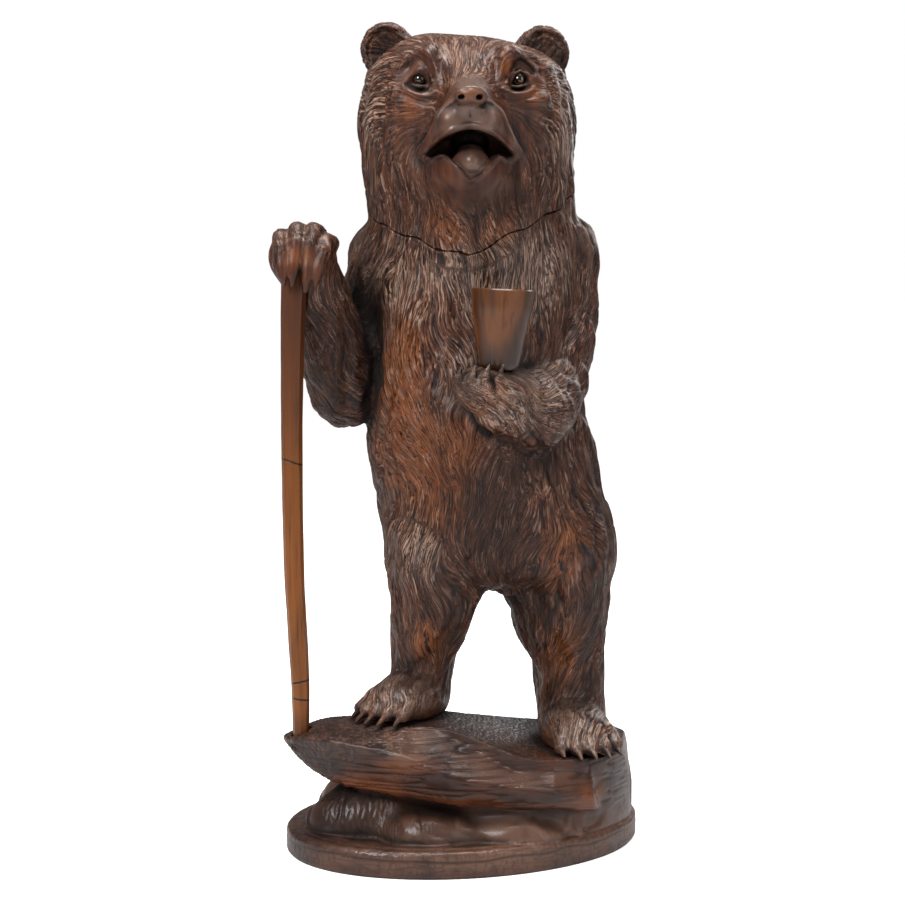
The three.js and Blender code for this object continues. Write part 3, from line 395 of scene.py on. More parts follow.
faceLines = [
    # muzzle edges, upper lip and lower lip
    (0.8, 0.8, [(-3, 294.6), (-6.6, 291.8), (-9.3, 289), (-10.7, 282.7), (-13.8, 276.2)]),
    (0.8, 0.8, [(9.6, 295), (13, 292.5), (15.8, 289.5), (18.4, 282.7), (21.2, 275)]),
    (-0.5, 1.2, [(-8.5, 294), (-12.2, 289), (-13.4, 282.7), (-16.5, 276)]),
    (-0.5, 1.2, [(15, 294), (18.6, 289), (20.9, 282.7), (23.8, 275.5)]),
    (0.9, 0.8, [(-14.3, 275.6), (-6.3, 281.9), (3.2, 285), (11.4, 282.4), (17.3, 278), (21.2, 274.2)]),
    (1.0, 0.8, [(-11.8, 272.2), (-7.6, 274.2), (-2.8, 270.4), (1.3, 265.6), (3.5, 264.3), (7, 266.2),
                (11.8, 271), (14.2, 274), (17.6, 272.2)]),
    (0.45, 0.6, [(-2.6, 271), (3.6, 268.2), (11.5, 271.2)]),
    (-0.4, 0.9, [(-1.5, 267.6), (3.5, 266.3), (8.8, 267.8)]),
    (-0.35, 0.35, [(3.3, 292.4), (3.1, 287.5)]),
    # nose pad
    (0.45, 0.55, [(-2.4, 293), (-2.4, 295.9), (0, 298), (3.3, 298.8), (6.8, 298), (9.1, 295.9), (9.1, 293)]),
    (-0.6, 0.6, [(-2.2, 292.4), (0.4, 291.5), (3.3, 292.3), (6.4, 291.5), (9, 292.4)]),
    # brows
    (0.8, 1.1, [(-24.6, 307), (-23.9, 309.9), (-20.4, 314), (-16.2, 315.9), (-13, 315.2), (-10.2, 310),
                (-9.2, 303.6)]),
    (0.8, 1.1, [(15.2, 303.6), (15.6, 309), (18.4, 315.8), (22.4, 314.6), (27, 311.4), (30.4, 307.6)]),
    (-0.6, 1.2, [(-8.4, 312.5), (-7.6, 307), (-6.8, 301.5)]),
    (-0.6, 1.2, [(14.2, 313.5), (13, 308), (12.6, 301.8)]),
    (-0.7, 0.9, [(-21.2, 309), (-18.6, 312.2), (-16.4, 312.8), (-14.2, 310.5), (-12.6, 305.5)]),
    (-0.7, 0.9, [(18.9, 305.5), (20.6, 310.8), (22.8, 312), (26, 309.6), (28.4, 306)]),
    (0.6, 0.6, [(-14.6, 310.2), (-12.4, 306.2), (-11.3, 303)]),
    (0.6, 0.6, [(20.8, 309.5), (18.6, 305.8), (17.4, 302.4)]),
    # bags and creases below the eyes
    (0.7, 0.9, [(-22, 301.4), (-18.9, 299.6), (-15.4, 298.3), (-11.6, 298.8), (-9.6, 300.6)]),
    (0.7, 0.9, [(28.8, 301.6), (25.6, 299.8), (21.4, 298.9), (17.8, 299.8), (15.6, 301.6)]),
    (-0.6, 0.7, [(-22.4, 303.2), (-19.4, 301.4), (-16.2, 300.2), (-12.4, 300.4)]),
    (-0.6, 0.7, [(28.6, 303.4), (25.4, 301.6), (22, 300.7), (18.4, 301)]),
    (-0.5, 0.9, [(-23, 299), (-18, 296.5), (-13, 295.4), (-9.5, 297)]),
    (-0.5, 0.9, [(29.4, 299.4), (24.6, 297), (19.5, 296), (15.6, 297.4)]),
    # the edge between the face and the ruff
    (0.5, 1.7, [(-25.6, 311), (-27.3, 300.8), (-27.8, 291.7), (-28.8, 282.6), (-26.5, 272), (-20, 263)]),
    (0.5, 1.7, [(31.4, 309.5), (34, 300), (34.2, 291.7), (33.8, 282.6), (31.5, 272), (25.6, 263)]),
    (-0.5, 1.2, [(-27.8, 310), (-29.6, 300.8), (-30.1, 291.7), (-31, 282.6), (-28.8, 271), (-22, 261)]),
    (-0.5, 1.2, [(33.8, 309), (36.2, 300), (36.4, 291.7), (36, 282.6), (33.6, 271), (27.6, 261)]),
    # rims of the ears
    (0.7, 0.8, [(-24.5, 327.5), (-29.8, 329), (-35, 327.4), (-38.6, 323.2), (-39, 318), (-37, 312.6)]),
    (0.7, 0.8, [(27, 325.8), (32, 328), (37.6, 326.8), (41.6, 323), (43, 317.6), (41.6, 312)]),
    (-0.9, 0.6, [(-25.5, 325.4), (-29.8, 326.8), (-33.8, 325.4), (-36.6, 322), (-37, 318), (-35.4, 313.4)]),
    (-0.9, 0.6, [(28.2, 323.8), (32.2, 325.8), (36.6, 324.8), (39.8, 321.6), (40.9, 317.4), (39.6, 312.6)]),
]
lineMap = dict(low=(-48, 255), high=(52, 335), pitch=0.25)


def rounded(path, pieces=6):  # a smooth curve through the points of a path
    knots = np.array([path[0], *path, path[-1]], np.float32)
    curve = [knots[1]]
    for a, b, c, d in zip(knots, knots[1:], knots[2:], knots[3:]):
        for t in np.arange(1, pieces + 1) / pieces:
            curve.append(b + 0.5 * t * (c - a + t * (2 * a - 5 * b + 4 * c - d + t * (3 * (b - c) + d - a))))
    return np.array(curve)


def drawnLines():  # every line worked into one map of heights, dying out at its ends
    low, high, pitch = lineMap["low"], lineMap["high"], lineMap["pitch"]
    total = np.zeros([round((b - a) / pitch) for a, b in zip(low, high)], np.float32)
    for height, width, path in faceLines:
        curve = rounded(path)
        first = np.floor((curve.min(0) - 3 * width - low) / pitch).astype(int)
        last = np.ceil((curve.max(0) + 3 * width - low) / pitch).astype(int)
        first, last = np.maximum(first, 0), np.minimum(last, total.shape)
        x, z = np.meshgrid(*[low[a] + pitch * np.arange(first[a], last[a]) for a in (0, 1)], indexing="ij")
        nearest, along = np.full(x.shape, 99.0), np.zeros(x.shape)
        for i, ((ax, az), (bx, bz)) in enumerate(zip(curve, curve[1:])):
            dx, dz = bx - ax, bz - az
            t = np.clip(((x - ax) * dx + (z - az) * dz) / (dx * dx + dz * dz + 1e-9), 0, 1)
            away = np.hypot(x - ax - t * dx, z - az - t * dz)
            along = np.where(away < nearest, i + t, along)
            nearest = np.minimum(nearest, away)
        along = along / (len(curve) - 1)
        fade = smoothStep(-0.02, 0.14, along) * smoothStep(1.02, 0.86, along)
        total[first[0] : last[0], first[1] : last[1]] += height * fade * np.exp(-((nearest / width) ** 2))
    return total


lineHeights = drawnLines()


def faceRelief(x, y, z):  # the lines laid on whatever faces forward
    u = np.clip((x - lineMap["low"][0]) / lineMap["pitch"], 0, lineHeights.shape[0] - 1.01)
    v = np.clip((z - lineMap["low"][1]) / lineMap["pitch"], 0, lineHeights.shape[1] - 1.01)
    i, j = u.astype(np.int32), v.astype(np.int32)
    a, b = u - i, v - j
    near = lineHeights[i, j] * (1 - a) + lineHeights[i + 1, j] * a
    far = lineHeights[i, j + 1] * (1 - a) + lineHeights[i + 1, j + 1] * a
    edge = -11 + 13 * smoothStep(22, 27, np.abs(x - middle)) * smoothStep(305, 311, z)
    return (near * (1 - b) + far * b) * smoothStep(edge + 4, edge - 4, y)


def head(x, y, z):
    d = headAdded(x, y, z)
    for form, width in faceCuts:
        d = cut(d, form(x, y, z), width)
    for lid in allLids:
        d = join(d, lid(x, y, z), 0.9)
    d = join(d, nosePad(x, y, z), 1.2)
    for side in (-1, 1):
        d = cut(d, nostril(side)(x, y, z), 0.6)
    d = cut(d, mouthSpace(x, y, z), 1.2)
    d = d - faceRelief(x, y, z)
    return join(d, tongue(x, y, z), 0.8)


rock = dict(high=54, low=41.2, fallFrom=-14, fallTo=36, tail=0.05)


def rockTop(x):  # level under the right foot, then falling to the left foot
    fall = (rock["high"] - rock["low"]) * smoothStep(rock["fallFrom"], rock["fallTo"], x)
    return rock["high"] - fall - rock["tail"] * np.maximum(0, x - rock["fallTo"])


plinth = dict(x=1, y=-10.4, long=73.6, short=56, turn=23, height=11, inset=5, mean=64)


def plinthReach(x, y):
    a = math.radians(plinth["turn"])
    dx, dy = x - plinth["x"], y - plinth["y"]
    u = (dx * math.cos(a) + dy * math.sin(a)) / plinth["long"]
    v = (dy * math.cos(a) - dx * math.sin(a)) / plinth["short"]
    return (np.sqrt(u * u + v * v) - 1) * plinth["mean"]


def plinthRing(x, y, z):
    out = plinthReach(x, y) + plinth["inset"]
    bulge = np.hypot(np.maximum(np.abs(out) - 2.4, 0), np.maximum(np.abs(z - 5.2) - 3, 0)) - 2.6
    disc = np.maximum(out, np.maximum(z - plinth["height"], -z))
    return join(bulge, disc, 1)


def plane(point, way):  # positive on the side that the direction points to
    px, py, pz = point
    nx, ny, nz = (float(v / np.linalg.norm(way)) for v in way)
    return lambda x, y, z: (x - px) * nx + (y - py) * ny + (z - pz) * nz


slabEdge = np.array(
    [
        # x, y and z of the front ridge, y of the edge of the trodden top, height of the underside
        (-74, -30, 47, -22, 41),
        (-66, -42, 49.5, -30, 38),
        (-51, -52, 50, -38, 31),
        (-40, -56, 48.6, -41, 28),
        (-23, -60, 45.5, -45, 26.5),
        (-4, -61.5, 37.5, -44, 24.5),
        (16, -60, 33.5, -43, 23.5),
        (36, -57, 30.5, -42, 22.5),
        (46, -52, 28.5, -40, 21),
        (57, -46, 26, -38, 20),
    ],
    float,
)
slabSides = [
    plane((-56.5, 0, 54), (-0.4, 0, 0.92)),
    plane((-73, -34, 44), (-1, -0.1, 0.15)),
    plane((-64.8, -32, 39.2), (-0.76, -0.1, -0.65)),
    plane((50.5, -50, 33), (0.97, -0.1, 0.22)),
    plane((-50, -22, 48), (-0.3, 0.95, 0.15)),
]


def slab(x, y, z):  # a tongue of rock with a ridge along its front and an undercut below it
    at = x.ravel()
    edges = [np.interp(at, slabEdge[:, 0], slabEdge[:, c]).astype(np.float32) for c in (1, 2, 3, 4)]
    ridgeY, ridgeZ, edgeY, low = (edge.reshape(x.shape) for edge in edges)
    slope = (rockTop(x) - ridgeZ) / (edgeY - ridgeY)
    top = (z - np.minimum(ridgeZ + (y - ridgeY) * slope, rockTop(x))) * 0.86
    front = (ridgeY + 0.5 * (ridgeZ - z) - y) * 0.88
    d = common(common(top, front, 2.2), low - z, 3)
    for side in slabSides:
        d = common(d, side(x, y, z), 2.5)
    return d


rearSides = [
    plane((-33, 0, 40), (-0.95, 0.15, 0.1)),
    plane((-10, -45, 30), (-0.2, -1, 0)),
    plane((50, -43, 30), (0.3, -0.95, 0.05)),
    plane((71, 0, 22), (1, -0.15, 0.12)),
    plane((0, 28, 38), (-0.15, 1, 0.35)),
    plane((62.6, -20, 46), (0.94, -0.1, 0.34)),
    plane((0, -3, 50.6), (0, 0.28, 1)),
]
lumps = [
    (limb([(-26, -18, 12, 27), (34, -12, 6, 33)]), 0),
    (oval((-41, -32, 12), (21, 15, 16)), 8),
    (oval((-12, -50, 10), (18, 10, 12)), 9),
    (oval((22, -48, 10), (18, 10, 10)), 9),
    (oval((52, -18, 13), (16, 22, 13)), 8),
    (oval((38, 16, 12), (26, 20, 15)), 4),
    (oval((-10, 24, 12), (28, 18, 15)), 4),
    (oval((-40, 2, 12), (19, 20, 15)), 4),
]


def rear(x, y, z):  # the block of rock behind, with flat sides
    d = z - rockTop(x) - 0.6
    for side in rearSides:
        d = common(d, side(x, y, z), 1.4)
    return common(d, 4 - z, 1.4)


def base(x, y, z):
    d = np.maximum(gather([*lumps, (rear, 3)])(x, y, z), plinthReach(x, y) + 1.5)
    d = join(d, slab(x, y, z), 1.2)
    d = join(d, plinthRing(x, y, z), 0.8)
    return np.maximum(np.maximum(d, -z), z - rockTop(x))


tufts = dict(width=10.5, length=60, rise=0.9)


def tuftRidges(x, y, z):  # long soft ridges that die out on the face, the paws and the feet
    wave, slow = 2 * math.pi / tufts["width"], 2 * math.pi / tufts["length"]
    across = np.sin(wave * x + 1.9 * np.sin(0.31 * y + slow * z) + 0.9 * np.sin(2.3 * slow * z))
    along = np.sin(wave * 0.93 * y + 1.7 * np.sin(0.27 * x - slow * 1.1 * z))
    face = smoothStep(24, 34, np.sqrt((x - middle) ** 2 + ((y + 46) * 0.8) ** 2 + (z - 288) ** 2))
    staffPaw = smoothStep(14, 22, np.sqrt((x + 62) ** 2 + (y + 33) ** 2 + (z - 238) ** 2))
    cupPaw = smoothStep(16, 24, np.sqrt((x - 6) ** 2 + (y + 54) ** 2 + (z - 190) ** 2))
    ends = smoothStep(8, 22, z - rockTop(x)) * smoothStep(316, 306, z)
    return tufts["rise"] * 0.5 * (across + along) * face * staffPaw * cupPaw * ends


def figure(x, y, z):
    d = join(cut(trunkAndLegs(x, y, z), arch(x, y, z), 4), head(x, y, z), 10)
    d = join(d, staffArm(x, y, z), 2.5)
    d = join(d, cupArm(x, y, z), 1.6)
    return d - tuftRidges(x, y, z)


# Where the pieces meet

fitGap = 0.3
bore = dict(x=4, y=1, radius=25, floor=132)
plug = dict(radius=24.4, foot=231, dishRadius=17, dishTop=250, top=272)
seam = dict(back=258, slant=4, dip=21, dipHalfAngle=80, front=-92, locks=14, lockRise=0.7, neck=47, clear=22)
cup = dict(
    x=14.2,
    y=-52.5,
    foot=193.5,
    height=30.5,
    footRadius=7.4,
    rimRadius=12,
    wall=1.6,
    floor=3.5,
    tilt=2.5,  # degrees towards the bear's left
)
staffKnots = [
    (-63.2, -36.5, 46, 3.5),
    (-63.4, -36.5, 72, 4.0),
    (-65.3, -36.5, 112, 4.3),
    (-66, -36.5, 155, 4.5),
    (-65.6, -36.5, 200, 4.9),
    (-64.6, -36.5, 233, 5.4),
]


def seamHeight(x, y):  # level round the back and dipping to a point under the chin
    dx, dy = x - bore["x"], y - bore["y"]
    angle = np.arctan2(dy, dx)
    turn = angle - math.radians(seam["front"])
    fromFront = np.abs(np.arctan2(np.sin(turn), np.cos(turn)))
    dip = seam["dip"] * np.maximum(0, 1 - fromFront / math.radians(seam["dipHalfAngle"]))
    locks = np.sin(seam["locks"] * angle) + 0.6 * np.sin(5 * angle + 1)
    outside = np.clip((np.sqrt(dx * dx + dy * dy) - seam["neck"]) / 8, 0, 1)
    level = seam["back"] - dip + seam["slant"] * np.cos(angle)
    return level + seam["lockRise"] * locks + seam["clear"] * outside


def boreWall(x, y, radius):
    return np.sqrt((x - bore["x"]) ** 2 + (y - bore["y"]) ** 2) - radius


def cupBody(x, y, z):
    lean = math.radians(cup["tilt"])
    dx, dz = x - cup["x"], z - cup["foot"]
    across, up = dx * math.cos(lean) - dz * math.sin(lean), dx * math.sin(lean) + dz * math.cos(lean)
    heights = (0, 1.2, cup["height"] * 0.75, cup["height"])
    radii = (cup["footRadius"] - 1, cup["footRadius"], cup["rimRadius"] - 0.7, cup["rimRadius"])
    radius = np.interp(up, heights, radii).astype(np.float32)
    side = np.sqrt(across * across + (y - cup["y"]) ** 2) - radius
    return np.maximum(side, np.maximum(-up, up - cup["height"]))


def bodyForm(x, y, z):
    d = common(figure(x, y, z), z - seamHeight(x, y) + fitGap / 2, 0.5)
    d = np.maximum(d, -np.maximum(boreWall(x, y, bore["radius"]), bore["floor"] - z))
    d = np.maximum(d, rockTop(x) + fitGap - z)
    d = np.maximum(d, fitGap - cupBody(x, y, z))
    return np.maximum(d, fitGap - limb(staffKnots)(x, y, z))


def baseForm(x, y, z):
    return np.maximum(base(x, y, z), fitGap - limb(staffKnots)(x, y, z))


def headForm(x, y, z):
    d = common(figure(x, y, z), seamHeight(x, y) + fitGap / 2 - z, 0.5)
    peg = np.maximum(boreWall(x, y, plug["radius"]), np.maximum(plug["foot"] - z, z - plug["top"]))
    slope = (z - plug["foot"]) / (plug["dishTop"] - plug["foot"])
    dishRadius = plug["dishRadius"] * np.sqrt(np.clip(1 - slope, 0, 1))
    dish = np.maximum(boreWall(x, y, dishRadius), z - plug["dishTop"])
    d = np.maximum(np.minimum(d, peg), -dish)
    for side in (-1, 1):
        ball = np.sqrt((x - middle - side * eye["spread"]) ** 2 + (y - eye["y"]) ** 2 + (z - eye["z"]) ** 2)
        d = np.maximum(d, eye["radius"] + fitGap - ball)
    return d


# From a form to a mesh


batchSize = 30000  # points worked out at a time


def batches(points):
    return [points[i : i + batchSize] for i in range(0, len(points), batchSize)]


def measured(form, points):  # the form at many points, a batch at a time on every core
    parts = [np.ascontiguousarray(part.T, np.float32) for part in batches(points)]
    with ThreadPoolExecutor() as pool:
        return np.concatenate(list(pool.map(lambda part: form(*part).astype(np.float32), parts)))


def sampled(form, low, high, step, levels=4):  # a grid of distances, fine only near the surface
    low = np.array(low, np.float32)
    shape = np.ceil((np.array(high) - low) / (step * 2**levels)).astype(int)
    grid = None
    for level in range(levels, -1, -1):
        pitch = step * 2**level
        if grid is None:
            grid = np.zeros(shape, np.float32)
            wanted = np.arange(grid.size)
        else:
            wanted = np.abs(grid) < 1.4 * 2 * pitch + 2 * step
            for axis in range(3):
                grid, wanted = grid.repeat(2, axis), wanted.repeat(2, axis)
            wanted = np.flatnonzero(wanted)
        places = np.stack(np.unravel_index(wanted, grid.shape), 1).astype(np.float32)
        grid.ravel()[wanted] = measured(form, low + (places + 0.5) * pitch)
    return grid


corners = np.array([[c & 1, c >> 1 & 1, c >> 2] for c in range(8)])


def netted(grid, low, step):  # a vertex in each cell that the surface crosses, a face for each crossed edge
    inside = grid < 0
    cellShape = np.array(grid.shape) - 1
    count = np.zeros(cellShape, np.int8)
    for c in corners:
        count += inside[tuple(slice(o, o + n) for o, n in zip(c, cellShape))]
    cells = np.flatnonzero((count > 0) & (count < 8))
    place = np.stack(np.unravel_index(cells, cellShape), 1)
    values = [grid[tuple((place + c).T)] for c in corners]
    total = np.zeros((len(cells), 3), np.float32)
    hits = np.zeros(len(cells), np.float32)
    for a in range(8):
        for b in (a | 1, a | 2, a | 4):
            if a == b:
                continue
            crossed = (values[a] < 0) != (values[b] < 0)
            share = np.where(crossed, values[a] / np.where(crossed, values[a] - values[b], 1), 0)
            total += crossed[:, None] * (corners[a] + share[:, None] * (corners[b] - corners[a]))
            hits += crossed
    points = np.array(low, np.float32) + (0.5 + place + total / hits[:, None]) * step
    faces = []
    for axis in range(3):
        one, two = np.eye(3, dtype=int)[(axis + 1) % 3], np.eye(3, dtype=int)[(axis + 2) % 3]
        near = [slice(1, n) for n in cellShape]
        near[axis] = slice(0, cellShape[axis])
        far = list(near)
        far[axis] = slice(1, cellShape[axis] + 1)
        here, there = inside[tuple(near)], inside[tuple(far)]
        edge = np.stack(np.nonzero(here != there), 1)
        outward = here[tuple(edge.T)]
        edge = edge + np.where(np.arange(3) == axis, 0, 1)
        ring = [edge - one - two, edge - two, edge, edge - one]
        ids = [np.searchsorted(cells, np.ravel_multi_index(tuple(r.T), cellShape)) for r in ring]
        quads = np.stack(ids, 1)
        faces.append(np.where(outward[:, None], quads, quads[:, ::-1]))
    return points, np.concatenate(faces)


def slopeOf(form, points, reach=0.35):  # unit vectors straight out of the form
    tips = np.array([[1, -1, -1], [-1, -1, 1], [-1, 1, -1], [1, 1, 1]], np.float32)
    slope = sum(tip * measured(form, points + reach * tip)[:, None] for tip in tips)
    return slope / (np.linalg.norm(slope, axis=1, keepdims=True) + 1e-9)


# The nap: which way the fur lies, kept on a coarse grid

tile = np.random.default_rng(11).standard_normal((64, 64, 64)).astype(np.float32)


def noise(points, grain, seed=0):  # smooth and random, about 1 high
    at = points / grain + seed * 7.31
    base = np.floor(at).astype(np.int32)
    part = at - base
    part = part * part * (3 - 2 * part)
    low, high = base & 63, (base + 1) & 63
    total = 0
    for c in corners:
        pick = [high[:, a] if c[a] else low[:, a] for a in range(3)]
        weight = np.prod([part[:, a] if c[a] else 1 - part[:, a] for a in range(3)], axis=0)
        total = total + weight * tile[pick[0], pick[1], pick[2]]
    return total * 1.5


nap = dict(
    low=(-88, -84, 34),
    high=(80, 64, 340),
    pitch=3.0,
    whorl=(26, 0.3),  # size of the whorls and how far they turn the fur, in radians
    ripple=(9, 0.2),
    # x, y, z, direction and reach of the places where the photograph shows the fur lie differently
    guides=[
        (-14, -38, 226, -0.55, 0, -1, 16),
        (26, -36, 228, -0.7, 0, -1, 14),
        (4, -38, 226, -0.35, 0, -1, 12),
        (-30, -30, 240, -0.5, 0, -1, 16),
        (46, -25, 240, 0.35, 0, -1, 16),
        (-22, -40, 180, 0.3, 0, -1, 14),
        (-12, -44, 196, 0.25, 0, -1, 12),
        (-8, -44, 150, 0.2, 0, -1, 16),
        (8, -44, 140, -0.3, 0, -1, 14),
        (38, -35, 150, 0.3, 0, -1, 16),
        (26, -42, 132, -0.5, 0, -1, 12),
        (-14, -30, 112, -0.45, 0, -1, 14),
        (38, -25, 108, -0.6, 0, -1, 17),
        (52, -20, 90, -0.3, 0, -1, 14),
    ],
)


def alongKnots(knots, points):  # the direction of the nearest stretch of a limb
    total = 0
    for a, b in zip(knots, knots[1:]):
        a, b = np.array(a[:3], np.float32), np.array(b[:3], np.float32)
        line = b - a
        t = np.clip((points - a) @ line / (line @ line), 0, 1)
        away = np.linalg.norm(points - a - t[:, None] * line, axis=1)
        total = total + np.exp(-away / 4)[:, None] * line / np.linalg.norm(line)
    return total / (np.linalg.norm(total, axis=1, keepdims=True) + 1e-9)


noseTip = (middle, -66, 292)


def footAhead(plan):  # the way the toes point
    yaw = math.radians(plan["yaw"])
    return np.array([-math.sin(yaw), -math.cos(yaw), -0.35], np.float32)


def napDirections(points):
    down = np.tile(np.array([0, 0, -1], np.float32), (len(points), 1))
    away = points - np.array(noseTip, np.float32)
    far = np.linalg.norm(away, axis=1, keepdims=True)
    below = smoothStep(300, 262, points[:, 2:]) * smoothStep(-52, -22, points[:, 1:2])
    radial = away * (1, 0.4, 1) / far + down * 1.5 * below
    body = down * 0.35
    for x, y, z, dx, dy, dz, reach in nap["guides"]:
        near = np.exp(-np.sum((points - (x, y, z)) ** 2, axis=1) / reach**2)
        body = body + near[:, None] * np.array([dx, dy, dz], np.float32)
    ahead = np.where(points[:, :1] < 12, footAhead(rightFootPlan), footAhead(leftFootPlan))
    ways = [
        (hips, body),
        (head, radial),
        (staffArm, alongKnots(staffArmKnots, points)),
        (cupArm, alongKnots(cupArmKnots, points)),
        (legs, down),
        (feet, ahead),
    ]
    distances = np.stack([measured(form, points) for form, way in ways], 1)
    weights = np.exp(-(distances - distances.min(1, keepdims=True)) / 2.5)
    total = 0
    for i, (form, way) in enumerate(ways):
        total = total + weights[:, i : i + 1] * way / (np.linalg.norm(way, axis=1, keepdims=True) + 1e-9)
    out = slopeOf(figure, points, 1.2)
    total = total - out * np.sum(total * out, axis=1, keepdims=True)
    total = total / (np.linalg.norm(total, axis=1, keepdims=True) + 1e-9)
    turns = enumerate((nap["whorl"], nap["ripple"]))
    turn = sum(amount * noise(points, size, 3 + i) for i, (size, amount) in turns)[:, None].astype(np.float32)
    return np.cos(turn) * total + np.sin(turn) * np.cross(out, total)


napShape = np.ceil((np.array(nap["high"]) - nap["low"]) / nap["pitch"]).astype(int) + 1
napNodes = np.stack(np.meshgrid(*[np.arange(n) for n in napShape], indexing="ij"), -1).reshape(-1, 3)
napGrid = napDirections((napNodes * nap["pitch"] + nap["low"]).astype(np.float32)).astype(np.float32)
print("nap laid out")


def napAt(points):
    at = np.clip((points - nap["low"]) / nap["pitch"], 0, napShape - 1.001)
    base = at.astype(np.int32)
    part = (at - base).astype(np.float32)
    total = 0
    for c in corners:
        pick = base + c
        weight = np.prod([part[:, a] if c[a] else 1 - part[:, a] for a in range(3)], axis=0)
        row = (pick[:, 0] * napShape[1] + pick[:, 1]) * napShape[2] + pick[:, 2]
        total = total + weight[:, None] * napGrid[row]
    return total / (np.linalg.norm(total, axis=1, keepdims=True) + 1e-9)


def lengthAlong(knots, points):  # how far along a limb each point lies
    total, weight, start = 0, 1e-20, 0
    for a, b in zip(knots, knots[1:]):
        a, b = np.array(a[:3]), np.array(b[:3])
        length = np.linalg.norm(b - a)
        t = np.clip((points - a) @ (b - a) / length**2, 0, 1)
        share = np.exp(-np.linalg.norm(points - a - t[:, None] * (b - a), axis=1) / 4)
        total, weight, start = total + share * (start + t * length), weight + share, start + length
    return total / weight


def fromNose(points):
    return np.linalg.norm((points - noseTip) * (1, 0.8, 1), axis=1)


lengths = [
    (hips, lambda points: -points[:, 2]),
    (head, fromNose),
    (staffArm, lambda points: lengthAlong(staffArmKnots, points)),
    (cupArm, lambda points: lengthAlong(cupArmKnots, points)),
    (legs, lambda points: -points[:, 2]),
    (feet, lambda points: -points[:, 1]),
]
strand = dict(band=30.0, steps=12)


def strandRoots(points):  # each point followed back to the start of its band, for two sets of bands
    nearest = np.argmin([measured(form, points) for form, length in lengths], axis=0)
    roots = [np.zeros((len(points), 3), np.float32) for _ in range(2)]
    share = np.zeros(len(points), np.float32)
    along = np.zeros(len(points), np.float32)

    def follow(job):
        i, shift, picked = job
        length = lengths[i][1]
        at = points[picked]
        start = length(at)
        goal = (np.floor(start / strand["band"] + shift) - shift) * strand["band"]
        for step in range(strand["steps"]):
            way = napAt(at)
            rest = length(at) - goal
            gain = np.maximum(length(at + way * 0.5) - length(at - way * 0.5), 0.35)
            at = at - way * (rest / gain / (strand["steps"] - step))[:, None]
        return at, start, (start - goal) / strand["band"]

    jobs = []
    for i in range(len(lengths)):
        mine = np.flatnonzero(nearest == i)
        for k, shift in enumerate((0.0, 0.5)):
            jobs += [(k, (i, shift, picked)) for picked in batches(mine)]
    with ThreadPoolExecutor() as pool:
        followed = pool.map(follow, [job for k, job in jobs])
        for (k, (i, shift, picked)), (at, start, phase) in zip(jobs, followed):
            roots[k][picked] = at + 37 * i
            along[picked] = start
            if k == 0:
                share[picked] = 1 - np.abs(2 * phase - 1)
    return roots, share, along


def streaks(points, grain, length, steps, seed):  # noise smeared along the nap, with a spread of 1

    def smear(part):
        total = noise(part, grain, seed)
        for way in (-1, 1):
            at = part
            for _ in range(steps):
                at = at + (way * length / (2 * steps)) * napAt(at)
                total = total + noise(at, grain, seed)
        return total

    with ThreadPoolExecutor() as pool:
        made = np.concatenate(list(pool.map(smear, batches(points))))
    return (made / made.std()).astype(np.float32)


# Node trees


class Wire:  # a socket whose arithmetic adds Math nodes
    def __init__(self, board, socket):
        self.board, self.socket = board, socket

    def __add__(self, other):
        return self.board.math("ADD", self, other)

    def __radd__(self, other):
        return self.board.math("ADD", other, self)

    def __sub__(self, other):
        return self.board.math("SUBTRACT", self, other)

    def __rsub__(self, other):
        return self.board.math("SUBTRACT", other, self)

    def __mul__(self, other):
        return self.board.math("MULTIPLY", self, other)

    def __truediv__(self, other):
        return self.board.math("DIVIDE", self, other)

    def __pow__(self, other):
        return self.board.math("POWER", self, other)

    def between(self, low, high):  # 0 up to low, 1 from high on
        sockets = {"Value": self, "From Min": low, "From Max": high}
        return self.board.node("ShaderNodeMapRange", {"interpolation_type": "SMOOTHSTEP"}, sockets)


